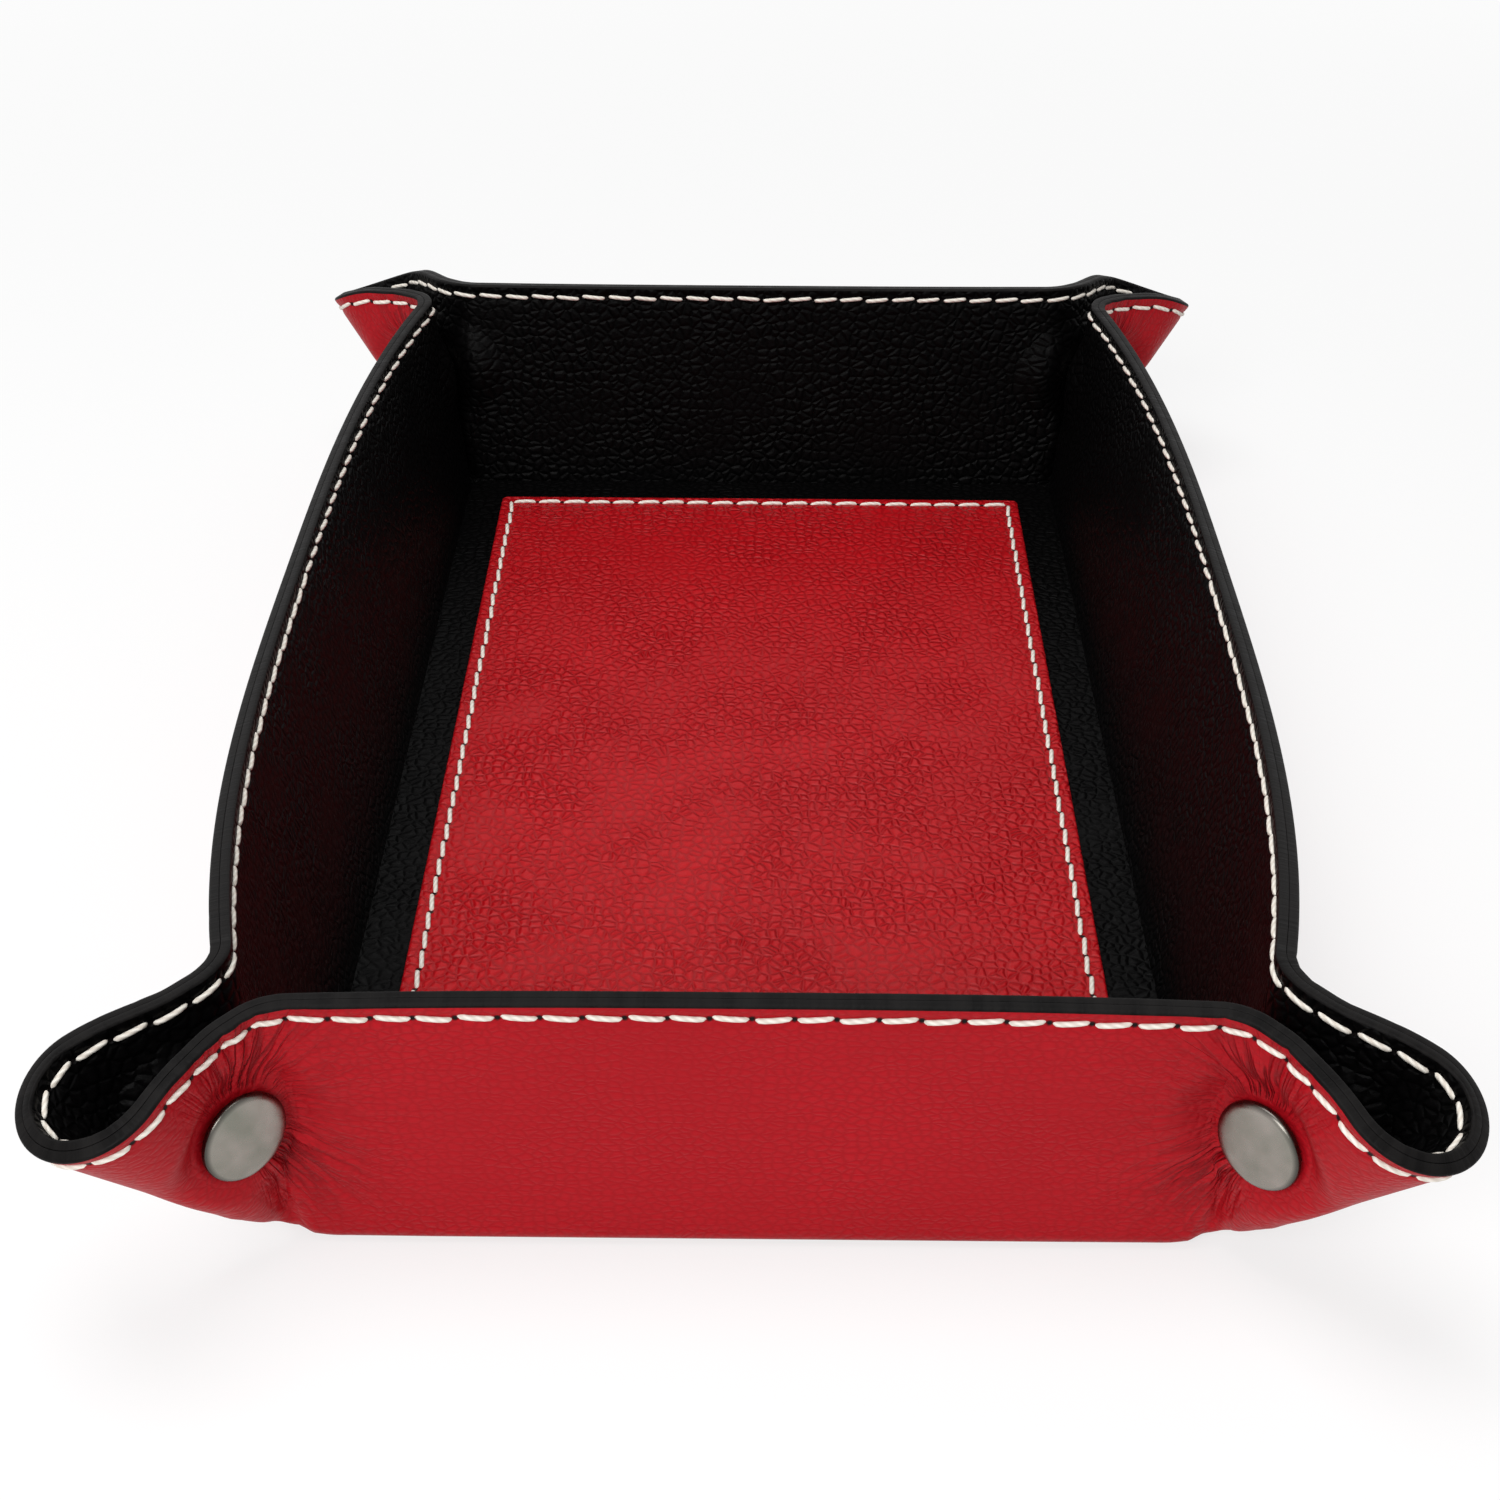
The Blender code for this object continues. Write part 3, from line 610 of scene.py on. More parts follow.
def pebbles(vector, size, seed):
    """Leather grain: rounded cells of uneven size between fine valleys. 0 in a valley and 1 on a cell."""
    wobble = noise_texture(vector, 2 * size, 1.0, channel="Color")
    moved = calc_vector("ADD", vector, calc_vector("MULTIPLY", wobble, (size * PEBBLE_WOBBLE,) * 3))
    place = calc_vector("ADD", moved, (seed, seed, 0))
    cells = add(vector.id_data, "ShaderNodeTexVoronoi",
                {"Vector": place, "Scale": 1 / size, "Randomness": PEBBLE_RANDOMNESS},
                feature="DISTANCE_TO_EDGE", voronoi_dimensions="2D")
    dome = map_range(cells.outputs["Distance"], (0.0, PEBBLE_EDGE), 0.0, 1.0, "SMOOTHERSTEP")
    return calc("POWER", dome, PEBBLE_DOME)


def seam_holes(tree):
    """1 where the needle went through the leather, from the place along the seam and the distance from it.
    There the leather is dented and painted nearly black, as painted shade in the hole.
    """
    seam = parts_of(tree, "seam")
    stitch = calc("FRACT", calc("ADD", seam["X"], 0.5))
    from_hole = calc("MULTIPLY", calc("SUBTRACT", stitch, 0.5), STITCH_PITCH)
    squares = [calc("POWER", calc("ABSOLUTE", part), 2.0) for part in (from_hole, seam["Y"])]
    away = calc("SQRT", calc("ADD", *squares))
    return map_range(away, (HOLE_RADIUS, 2 * HOLE_RADIUS), 1.0, 0.0)


def snap_creases(tree):
    """Fine creases that fan out from each snap, which leather_material dents and darkens with painted shade.
    """
    pinch = parts_of(tree, "pinch")
    across = calc("DIVIDE", pinch["X"], FINE_CREASE_TURN)
    along = calc("DIVIDE", pinch["Y"], FINE_CREASE_LENGTH)
    place = add(tree, "ShaderNodeCombineXYZ", {0: across, 1: along}).outputs[0]
    value = noise_texture(place, 1, 2.0, FINE_CREASE_DISTORTION)
    offset = calc("ABSOLUTE", calc("SUBTRACT", value, 0.5))
    return calc("MULTIPLY", map_range(offset, (0.0, FINE_CREASE_WIDTH), 1.0, 0.0), pinch["Z"])


def leather_material(name, colour, grain, roughness, specular, pinched=False):
    """Leather of one colour: pebbles with painted shade in the valleys between them, pores, patches, needle
    holes and, where pinched, streaks and creases. The holes and creases are darkened with painted shade.
    """
    material, tree, shader = new_material(name)
    size, depth, valley_painted_shade, stretch = grain
    cells = pebbles(sheet_vector(tree, stretch), size, len(name) * SEED_STEP)
    place = sheet_vector(tree)
    pores = noise_texture(place, size * PORE_SHARE, 2.0)
    patches = noise_texture(place, PATCH_SIZE, 2.0)
    bold = map_range(noise_texture(place, BOLD_SIZE, 2.0), NARROW, LEAST_BOLD, 1.0)
    tinted = mix_colours(map_range(patches, WIDE, 0.0, 1.0), shade(colour), shade(colour, WORN_SHADE))
    # The valleys between the pebbles are darkened: painted shade.
    tinted = mix_colours(map_range(cells, (0.0, 1.0), 1.0, 0.0), tinted, shade(colour, valley_painted_shade))
    normal = bump(calc("MULTIPLY", cells, bold), depth)
    normal = bump(pores, depth * PORE_DEPTH_SHARE, normal)
    # Needle holes, and the fine creases below, are darkened with painted shade as well as dented.
    painted_shade_marks = [(seam_holes(tree), shade(HOLE_PAINTED_SHADE), HOLE_RADIUS)]
    if pinched:
        streaks = noise_texture(sheet_vector(tree, STREAK_STRETCH), STREAK_SIZE)
        normal = bump(streaks, STREAK_DEPTH, normal)
        # The fine creases are darkened with painted shade as well as dented.
        painted_shade_marks.insert(0, (snap_creases(tree), shade(colour, FINE_CREASE_PAINTED_SHADE), FINE_CREASE_DEPTH))
    for share, painted_shade_colour, cut_depth in painted_shade_marks:
        tinted = mix_colours(share, tinted, painted_shade_colour)
        normal = bump(calc("MULTIPLY", share, -1.0), cut_depth, normal)
    haze = map_range(pores, WIDE, roughness - SMOOTHER, roughness + ROUGHER)
    put(shader, {"Base Color": tinted, "Normal": normal, "Roughness": haze, "Specular IOR Level": specular})
    return material


def edge_material():
    """The black paint on the cut edges."""
    material, tree, shader = new_material("edge_paint")
    place = sheet_vector(tree)
    wear = noise_texture(place, EDGE_WEAR_SIZE, 4.0)
    colour = mix_colours(map_range(wear, EDGE_WEAR_SPREAD, 0.0, 1.0), *EDGE_PAINT_COLOURS)
    normal = bump(noise_texture(place, EDGE_FIBRE_SIZE), EDGE_FIBRE_DEPTH)
    haze = map_range(wear, WIDE, *EDGE_ROUGHNESS)
    put(shader, {"Base Color": colour, "Normal": normal, "Roughness": haze, "Specular IOR Level": 0.06})
    return material


def thread_material():
    """Waxed off-white thread, laid up of strands, darkened in the grooves between them as painted shade."""
    material, tree, shader = new_material("thread")
    twist = parts_of(tree, "twist")
    bearing = calc("MULTIPLY", calc("ARCTAN2", twist["Y"], twist["X"]), THREAD_STRANDS)
    share = map_range(calc("SINE", calc("ADD", bearing, twist["Z"])), (-1.0, 1.0), 0.0, 1.0)
    # Darker where the strands dip: painted shade in the grooves between them.
    colour, normal = mix_colours(share, *THREAD_PAINTED_SHADE_AND_COLOUR), bump(share, STRAND_DEPTH)
    put(shader, {"Base Color": colour, "Normal": normal, "Roughness": 0.6, "Specular IOR Level": 0.2})
    return material


def metal_material():
    """Plated brass with a faint haze, with painted shade at its rolled rim."""
    material, tree, shader = new_material("snap_metal")
    spot = add(tree, "ShaderNodeTexCoord", {}).outputs["Object"]
    cloud = map_range(noise_texture(spot, METAL_CLOUD_SIZE, 2.0), NARROW, 0.0, 1.0)
    # The rolled rim is darkened: painted shade.
    rim = map_range(parts_of(tree, "turned")["X"], METAL_PAINTED_SHADE_SPREAD, 0.0, METAL_PAINTED_SHADE_SHARE)
    colour = mix_colours(rim, mix_colours(cloud, *METAL_COLOURS), METAL_RIM_PAINTED_SHADE)
    haze = map_range(noise_texture(spot, METAL_HAZE_SIZE, 4.0), WIDE, *METAL_ROUGHNESS)
    put(shader, {"Base Color": colour, "Roughness": haze, "Metallic": 1.0})
    return material


RED_LEATHER = leather_material("outer_red_leather", (0.4, 0.005, 0.011), OUTER_GRAIN, 0.44, 0.1, True)
BLACK_LEATHER = leather_material("black_lining_leather", (0.0018, 0.0016, 0.0017), LINING_GRAIN, 0.4, 0.034)
PANEL_LEATHER = leather_material("panel_red_leather", (0.43, 0.004, 0.008), PANEL_GRAIN, 0.37, 0.14)
EDGE_PAINT = edge_material()
THREAD = thread_material()
PEWTER = metal_material()


# How fine the round edges and creases are, and over which angle an edge between faces shows
EDGE_TURNS = np.radians((30, 60, 90))
BEND_SPACING = 0.00042
LEATHER_SHARP = radians(55)
SLAB_SHARP = radians(50)
METAL_SHARP = radians(42)


def in_scene(name, data):
    obj = bpy.data.objects.new(name, data)
    bpy.context.scene.collection.objects.link(obj)
    return obj


def new_mesh(name, points, faces):
    mesh = bpy.data.meshes.new(name)
    mesh.from_pydata(np.reshape(points, (-1, 3)).tolist(), [], faces)
    return mesh


def new_piece(name, mesh, slot, *materials):
    for material in materials:
        mesh.materials.append(material)
    obj = in_scene(name, mesh)
    return obj


def give(mesh, name, *parts):
    """A point attribute of three parts, or of one array of vectors."""
    vectors = np.stack(np.broadcast_arrays(*parts), -1) if len(parts) > 1 else parts[0]
    layer = mesh.attributes.new(name, "FLOAT_VECTOR", "POINT")
    layer.data.foreach_set("vector", vectors.astype(np.float32).ravel())


def close_up(mesh, sharp=None):
    """Joins points that coincide, turns the faces out and shades them smooth, but for edges over an angle."""
    body = bmesh.new()
    body.from_mesh(mesh)
    bmesh.ops.remove_doubles(body, verts=body.verts, dist=MERGE_DISTANCE)
    bmesh.ops.recalc_face_normals(body, faces=body.faces)
    body.to_mesh(mesh)
    body.free()
    mesh.shade_smooth()
    if sharp:
        mesh.set_sharp_from_angle(angle=sharp)


def quads(here, ahead, beside, beside_ahead):
    """Faces between a grid of points and the same grid one step on in both directions."""
    return np.stack((here, ahead, beside_ahead, beside), -1).reshape(-1, 4).tolist()


def even(start, stop, spacing):
    """From start to stop in equal steps of about the spacing."""
    return np.linspace(start, stop, max(int(round(abs(stop - start) / spacing)), 1) + 1)


def section(ply, start, spacing):
    """A ply's outline across the sheet, from its visible face round the cut edge to its glued face.

    Rows of height past the crease, offset from where the plies meet, share of the dents, and the normal's
    shares out of the visible face and towards the rim, 0 where the mesh gives it. Then the painted rows."""
    face, glued, _ = ply
    side = -1 if face < 0 else 1
    bend = 2 * CREASE_ROUNDING
    shown = np.concatenate((even(0, bend, BEND_SPACING), even(bend, WALL_HEIGHT - EDGE_ROUND, spacing)[1:]))
    if start < 0:
        shown = np.concatenate((even(start, -bend, spacing)[:-1], even(-bend, 0, BEND_SPACING)[:-1], shown))
    rows = [(height, face, 1, 1, 0) for height in shown]
    for turn in EDGE_TURNS:
        height, inward = WALL_HEIGHT - EDGE_ROUND * (1 - sin(turn)), EDGE_ROUND * (1 - cos(turn))
        rows.append((height, face - side * inward, cos(turn), cos(turn), sin(turn)))
    for turn in EDGE_TURNS[::-1]:
        height, inward = WALL_HEIGHT - GROOVE_ROUND * (1 - sin(turn)), GROOVE_ROUND * (1 - cos(turn))
        rows.append((height, glued + side * inward, 0, -cos(turn), sin(turn)))
    painted = range(len(shown) - 1, len(rows) + 1)
    rows += [(height, glued, 0, 0, 0) for height in shown[::-1]]
    return np.array(rows), painted


def build_ply(name, ply, columns, rows, painted, slot, leather):
    """A closed piece of one ply. columns(share) is (u, v) of every column at a share of the wall's height."""
    face, _, dents = ply
    u, v = np.stack([columns(share) for share in rows[:, 0] / WALL_HEIGHT], -1)
    count, length = u.shape
    index = np.arange(count * length).reshape(count, length)
    after = np.roll(index, -1, 1)
    faces = quads(index[:-1], index[1:], after[:-1], after[1:])
    finish = np.tile(np.isin(np.arange(length), painted), count - 1)
    ends, across = index[(0, -1), :length // 2], index[(0, -1), :-length // 2 - 1:-1]
    caps = quads(ends[:, :-1], ends[:, 1:], across[:, :-1], across[:, 1:])
    mesh = new_mesh(name, laid(u, v, rows[:, 1] + u * 0, dents(u, v) * rows[:, 2]), faces + caps)
    mesh.polygons.foreach_set("material_index", np.append(finish, np.ones(len(caps))).astype(np.int32))
    give(mesh, "sheet", u, v, 0)
    give(mesh, "seam", seam_place(u, v) / STITCH_PITCH, rim_distance(u, v) - SEAM_INSET, 0)
    bearing, away, strength = about_snap(u, v)
    give(mesh, "pinch", bearing + corner_shift(u, v), away, strength)
    normals = np.zeros((count, length, 3))
    for column in (0, -1):
        normals[column] = border_normals(ply, columns, rows, column)
    normals[:, 0] = face_normal(u[:, 0], v[:, 0], face, dents)
    give(mesh, "face_normal", normals)
    close_up(mesh, LEATHER_SHARP)
    kept = np.zeros(len(mesh.vertices) * 3, np.float32)
    mesh.attributes["face_normal"].data.foreach_get("vector", kept)
    mesh.attributes.remove(mesh.attributes["face_normal"])
    mesh.normals_split_custom_set_from_vertices(kept.reshape(-1, 3).tolist())
    return new_piece(name, mesh, slot, leather, EDGE_PAINT)


def border_normals(ply, columns, rows, column):
    """The normals down one column, which the next patch of leather shares."""
    face, _, dents = ply
    shares = rows[:, 0] / WALL_HEIGHT
    here, lower = [np.array([[place[column] for place in columns(share - below)] for share in shares]).T
                   for below in (0, PROBE)]
    outward = face_normal(*here, face, dents)
    rise = unit(formed(*here)[0] - formed(*lower)[0])
    shown = (rows[:, 3:] != 0).any(1)
    normals = np.zeros((len(rows), 3))
    normals[shown] = unit((outward * rows[:, 3:4] + rise * rows[:, 4:5])[shown])
    return normals


# Each ply: its name and faces, the spacing of its rows, of its columns near an ear and elsewhere, its looks
PLIES = (
    ("outer", OUTER, 0.0005, 0.00055, 0.0026, "outer_leather", RED_LEATHER),
    ("lining", LINING, 0.001, 0.001, 0.003, "lining_leather", BLACK_LEATHER),
)
END_ZONE = 0.028
CREASE_BLEND = 0.006
BLEND_START = 0.006
BLEND_STEP = 0.002


def wall_columns(wall, end_spacing, middle_spacing):
    """Where a plain wall's columns meet its rim: close together near its ears."""
    end = even(wall.plain_length - END_ZONE, wall.plain_length, end_spacing)[1:]
    middle = even(END_ZONE - wall.plain_length, wall.plain_length - END_ZONE, middle_spacing)
    return np.concatenate((-end[::-1], middle, end))


def on_sheet(wall, sign_x, sign_y, past, along):
    """(u, v) from a distance past a wall's crease and a place along it. The signs say which quadrant."""
    out, along = wall.crease + past, along + past * 0
    return (sign_x * out, sign_y * along) if wall is SIDE_WALL else (sign_x * along, sign_y * out)


def plain_spots(wall, sign_x, sign_y, rim_places):
    foot = rim_places * wall.half_length / wall.plain_length

    def columns(share):
        past = share * WALL_HEIGHT
        along = foot + (rim_places - foot) * share if share > 0 else foot * (1 + past / wall.half_length)
        return on_sheet(wall, sign_x, sign_y, past + along * 0, along)
    return columns


def leaf_spots(wall, sign_x, sign_y, angles):
    length = sheet_reach(angles)

    def columns(share):
        past, over = length * share * np.cos(angles), length * share * np.sin(angles)
        return on_sheet(wall, sign_x, sign_y, past, wall.half_length + over)
    return columns


def mirrored(wall, sign_x, sign_y, local):
    """A point or vector from a wall's own frame, without its crease's place."""
    out, along, up = local
    x, y = (out, along) if wall is SIDE_WALL else (along, out)
    return Vector((sign_x * x, sign_y * y, up))


def wall_crease(wall, sign_x, sign_y):
    """The middle of the line where a wall's frame starts."""
    return mirrored(wall, sign_x, sign_y, (wall.crease, 0, MEETING_LEVEL))


def crease_blend(wall, sign_x, sign_y):
    """The line in space over which the leather turns from the floor to a wall."""
    way = mirrored(wall, sign_x, sign_y, (1, 0, 1)).normalized() * CREASE_BLEND / 2
    crease = wall_crease(wall, sign_x, sign_y)
    return crease - way, crease + way


def leaf_blend(wall, sign_x, sign_y):
    """The line in space over which the leather turns from a wall to its ear leaf.

    It is square to the line up from the floor's corner where the plain wall ends."""
    corner = np.array((0, wall.half_length, 0))
    line = unit(wall.rim_end - corner)
    way = unit(np.array((0, 1, 0)) + np.array((1, 1, 0)) / sqrt(2))
    way = unit(way - line * (way @ line))
    heights = even(BLEND_START, WALL_HEIGHT, BLEND_STEP)
    column = wall.point(wall.half_length - heights * tan(wall.fan), heights)
    start = corner + way * max(((column - corner) @ way).max(), 0)
    crease = wall_crease(wall, sign_x, sign_y)
    return [mirrored(wall, sign_x, sign_y, end) + crease for end in (start, start + way * wall.leaf_blend)]


def on_plain(wall, u, v):
    """Which places of the first quadrant are on this wall itself, and which on its ear leaf."""
    past_side, past_end = past_creases(u, v)
    height, along = (past_side, v) if wall is SIDE_WALL else (past_end, u)
    own = (past_side > past_end) == (wall is SIDE_WALL)
    plain = along <= wall.half_length - height * tan(wall.fan)
    return own & plain, own & ~plain


def build_plies(name, start, make_columns, blend):
    """Both plies of a wall or a leaf. blend, the two bodies and the line over which the leather turns, is not
    used.
    """
    for ply_name, ply, rows_spacing, end_spacing, middle_spacing, slot, leather in PLIES:
        rows, painted = section(ply, start, rows_spacing)
        columns = make_columns(end_spacing, middle_spacing)
        obj = build_ply(f"{name}_{ply_name}_leather", ply, columns, rows, painted, slot, leather)
        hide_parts(f"{name}_{ply_name}")
        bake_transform(obj)


def build_wall(name, wall, sign_x, sign_y):
    def columns(end_spacing, middle_spacing):
        return plain_spots(wall, sign_x, sign_y, wall_columns(wall, end_spacing, middle_spacing))
    build_plies(name, -STRIP_WIDTH, columns, ("floor", name, *crease_blend(wall, sign_x, sign_y)))
    quadrants = [(sign_x, 1), (sign_x, -1)] if wall is SIDE_WALL else [(1, sign_y), (-1, sign_y)]
    stitches = seam_stitches(name, lambda u, v: on_plain(wall, u, v)[0], quadrants)
    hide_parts(f"{name}_stitching")
    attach(stitches, name)


def build_leaf(name, wall, wall_name, sign_x, sign_y):
    def columns(end_spacing, middle_spacing):
        return leaf_spots(wall, sign_x, sign_y, even(-wall.fan, pi / 4, end_spacing / WALL_HEIGHT))
    blend = (wall_name, name, *leaf_blend(wall, sign_x, sign_y))
    build_plies(name, 0, columns, blend)
    stitches = seam_stitches(name, lambda u, v: on_plain(wall, u, v)[1], [(sign_x, sign_y)])
    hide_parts(f"{name}_stitching")
    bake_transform(stitches)


def graded(half, fine, coarse, fine_zone):
    """Places from -half to half, close together within the fine zone at both ends."""
    if not fine_zone:
        return even(-half, half, coarse)
    end = even(half - fine_zone, half, fine)[1:]
    return np.concatenate((-end[::-1], even(fine_zone - half, half - fine_zone, coarse), end))


def rounded(u, v, half_width, half_length, radius):
    """Moves the points of a rectangle so that its corners are round."""
    straight_u, straight_v = half_width - radius, half_length - radius
    over_u, over_v = np.abs(u) - straight_u, np.abs(v) - straight_v
    in_corner = (over_u > 0) & (over_v > 0)
    scale = np.maximum(over_u, over_v) / np.maximum(np.hypot(over_u, over_v), PROBE ** 2)
    round_u, round_v = np.sign(u) * (straight_u + over_u * scale), np.sign(v) * (straight_v + over_v * scale)
    return np.where(in_corner, round_u, u), np.where(in_corner, round_v, v)


def slab(name, size, grades, bottom, top, edge, slot, leather):
    """A flat closed piece. top(u, v) is its upper face's height, and edge the radius of its upper edge.

    size is half its width, half its length and its corners' radius, and grades are as graded() takes them.
    Only the piece with the round edge, the panel, has a seam of its own."""
    half_width, half_length, radius = size
    across, along = graded(half_width, *grades), graded(half_length, *grades)
    i, j = np.meshgrid(range(len(across)), range(len(along)), indexing="ij")
    last_i, last_j = len(across) - 1, len(along) - 1
    border = [(a, 0) for a in range(last_i + 1)] + [(last_i, b) for b in range(1, last_j + 1)]
    border += [(a, last_j) for a in range(last_i - 1, -1, -1)] + [(0, b) for b in range(last_j - 1, 0, -1)]
    ring = tuple(np.array(border).T)

    def layer(inset, height, picked_i, picked_j):
        u = across[picked_i] * (1 - inset / half_width)
        v = along[picked_j] * (1 - inset / half_length)
        u, v = rounded(u, v, half_width - inset, half_length - inset, max(radius - inset, PROBE))
        return np.stack((u, v, height(u, v)), -1).reshape(-1, 3)

    rings = [layer(edge * (1 - sin(turn)), lambda u, v: top(u, v) - edge * (1 - cos(turn)), *ring)
             for turn in (EDGE_TURNS if edge else ())]
    points = np.concatenate([layer(edge, top, i, j), *rings, layer(0, lambda u, v: u * 0 + bottom, i, j)])
    grid = np.arange(i.size).reshape(i.shape)
    below = grid + len(points) - i.size
    faces = quads(grid[:-1, :-1], grid[1:, :-1], grid[:-1, 1:], grid[1:, 1:])
    faces += quads(below[:-1, :-1], below[:-1, 1:], below[1:, :-1], below[1:, 1:])
    loops = [i.size + number * len(border) + np.arange(len(border)) for number in range(len(rings))]
    loops = [grid[ring], *loops, below[ring]]
    for high, low in zip(loops, loops[1:]):
        faces += quads(high, low, np.roll(high, -1), np.roll(low, -1))
    mesh = new_mesh(name, points, faces)
    give(mesh, "sheet", points)
    past_u, past_v = np.abs(points[:, 0]) - PANEL_SEAM[0], np.abs(points[:, 1]) - PANEL_SEAM[1]
    stitch = np.where(past_u > past_v, points[:, 1] / PANEL_PITCHES[1], points[:, 0] / PANEL_PITCHES[0])
    give(mesh, "seam", stitch, np.maximum(past_u, past_v) if edge else WALL_HEIGHT, 0)
    close_up(mesh, SLAB_SHARP)
    return new_piece(name, mesh, slot, leather)


# The panel's seam is a rectangle with a whole number of stitches on each side, and a hole at every corner
PANEL_SEAM = (PANEL_HALF_WIDTH - SEAM_INSET, PANEL_HALF_LENGTH - SEAM_INSET)
PANEL_COUNTS = [2 * round(half / PANEL_STITCH) for half in PANEL_SEAM]
PANEL_PITCHES = [2 * half / count for half, count in zip(PANEL_SEAM, PANEL_COUNTS)]
PANEL_WAVE = 0.00016
PANEL_WAVE_SIZE = 0.016
SAG_WAVE = 0.00025
SAG_WAVE_SIZE = 0.045
PANEL_WAVE_START, SAG_WAVE_START = 9, 5
PANEL_WAVE_SEED, SAG_WAVE_SEED = 21, 22
FLOOR_GRADES = (0.0, 0.012, 0.0)
PANEL_GRADES = (0.0004, 0.002, 0.006)


def waves(u, v, depth, size, start, seed):
    return depth * (noise(u / size + start, v / size + start, seed) - 0.5)


def panel_top(u, v):
    """The panel's face: drawn down along its seam, and not quite flat inside it."""
    inside = -np.maximum(np.abs(u) - PANEL_SEAM[0], np.abs(v) - PANEL_SEAM[1])
    channel = SEAM_DIP * hump(inside / SEAM_DIP_WIDTH)
    wave = waves(u, v, PANEL_WAVE, PANEL_WAVE_SIZE, PANEL_WAVE_START, PANEL_WAVE_SEED)
    sag = waves(u, v, SAG_WAVE, SAG_WAVE_SIZE, SAG_WAVE_START, SAG_WAVE_SEED)
    return PANEL_TOP - channel + (wave + sag) * smooth(inside / PANEL_WAVE_SIZE)


def build_floor():
    flat = (FLOOR_HALF_WIDTH - STRIP_WIDTH, FLOOR_HALF_LENGTH - STRIP_WIDTH, PROBE)
    panel = (PANEL_HALF_WIDTH, PANEL_HALF_LENGTH, PANEL_CORNER_RADIUS)
    for node, size, grades, bottom, top, edge, slot, leather in (
        ("floor_outer", flat, FLOOR_GRADES, 0, lambda u, v: u * 0 + MEETING_LEVEL - GLUE_LINE, 0,
         "outer_leather", RED_LEATHER),
        ("floor_lining", flat, FLOOR_GRADES, MEETING_LEVEL + GLUE_LINE, lambda u, v: u * 0 + FLOOR_TOP, 0,
         "lining_leather", BLACK_LEATHER),
        ("floor_panel", panel, PANEL_GRADES, FLOOR_TOP + CLEARANCE, panel_top, EDGE_ROUND,
         "panel_leather", PANEL_LEATHER),
    ):
        obj = slab(f"{node}_leather", size, grades, bottom, top, edge, slot, leather)
        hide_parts(node)
        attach(obj, "floor")


# Each stitch is a short length of thread that comes out of one needle hole and goes into the next
THREAD_SIDES = 8
STITCH_LENGTH_SHARE = 0.84
STITCH_PLACE_SHARES = np.array((-1, -0.94, -0.82, -0.5, 0, 0.5, 0.82, 0.94, 1))
STITCH_LIFT_SHARES = np.array((-1.4, -0.5, 0.1, 0.42, 0.5, 0.42, 0.1, -0.5, -1.4))
STITCH_GIRTH_SHARES = np.array((0.6, 0.8, 0.88, 0.9, 0.9, 0.9, 0.88, 0.8, 0.6))
STITCH_SLANT = 0.00022
STITCH_SHIFT = 0.00012
THREAD_LAY = 0.0016
QUADRANT_SEED_STEP = 10
PANEL_SEED = 60


def thread_piece(name, place, middles, pitch, seed):
    """One piece of stitches. place(along, aside, lift) says where a point over the seam is, and its up."""
    random = np.random.RandomState(seed)
    count = len(middles)
    shift = STITCH_SHIFT * (random.rand(count, 2, 1) * 2 - 1)
    share = STITCH_PLACE_SHARES[None, :]
    along = np.asarray(middles)[:, None] + shift[:, 0] + share * pitch * STITCH_LENGTH_SHARE / 2
    aside = shift[:, 1] + STITCH_SLANT * share
    lift = THREAD_RADIUS * STITCH_LIFT_SHARES + along * 0
    centre, up = place(along, aside, lift)
    forward = unit(np.gradient(centre, axis=1))
    across = unit(np.cross(forward, up))
    up = np.cross(across, forward)
    bearing = np.arange(THREAD_SIDES) * 2 * pi / THREAD_SIDES
    girth = THREAD_RADIUS * STITCH_GIRTH_SHARES[None, :, None, None]
    turned = across[:, :, None] * np.cos(bearing)[:, None] + up[:, :, None] * np.sin(bearing)[:, None]
    points = centre[:, :, None] + girth * turned
    index = np.arange(points[..., 0].size).reshape(points.shape[:3])
    beside = np.roll(index, -1, 2)
    faces = quads(index[:, :-1], index[:, 1:], beside[:, :-1], beside[:, 1:])
    mesh = new_mesh(name, points, faces + index[:, 0].tolist() + index[:, -1, ::-1].tolist())
    wind = along[:, :, None] * 2 * pi / THREAD_LAY
    give(mesh, "twist", np.cos(bearing), np.sin(bearing), wind)
    close_up(mesh)
    return mesh


def merged(name, meshes):
    """One piece from several meshes."""
    body = bmesh.new()
    for mesh in meshes:
        body.from_mesh(mesh)
        bpy.data.meshes.remove(mesh)
    joined = bpy.data.meshes.new(name)
    body.to_mesh(joined)
    body.free()
    return new_piece(name, joined, "thread", THREAD)


def seam_stitches(name, wanted, quadrants):
    """The stitches on both faces that belong to one wall or leaf. wanted(u, v) says which they are."""
    middles = (np.arange(STITCHES_PER_QUARTER) + 0.5) * STITCH_PITCH
    middles = middles[wanted(*seam_spot(middles, 0))]
    meshes = []
    for number, (sign_x, sign_y) in enumerate(quadrants):
        for face, _, dents in (OUTER, LINING):
            def place(along, aside, lift):
                u, v = seam_spot(along, aside)
                u, v = sign_x * u, sign_y * v
                up = formed(u, v)[1] * (-1 if face < 0 else 1)
                return laid(u, v, u * 0 + face, dents(u, v)) + up * lift[..., None], up
            seed = len(name) + QUADRANT_SEED_STEP * number + (face > 0)
            meshes.append(thread_piece(name, place, middles, STITCH_PITCH, seed))
    return merged(f"{name}_stitches", meshes)


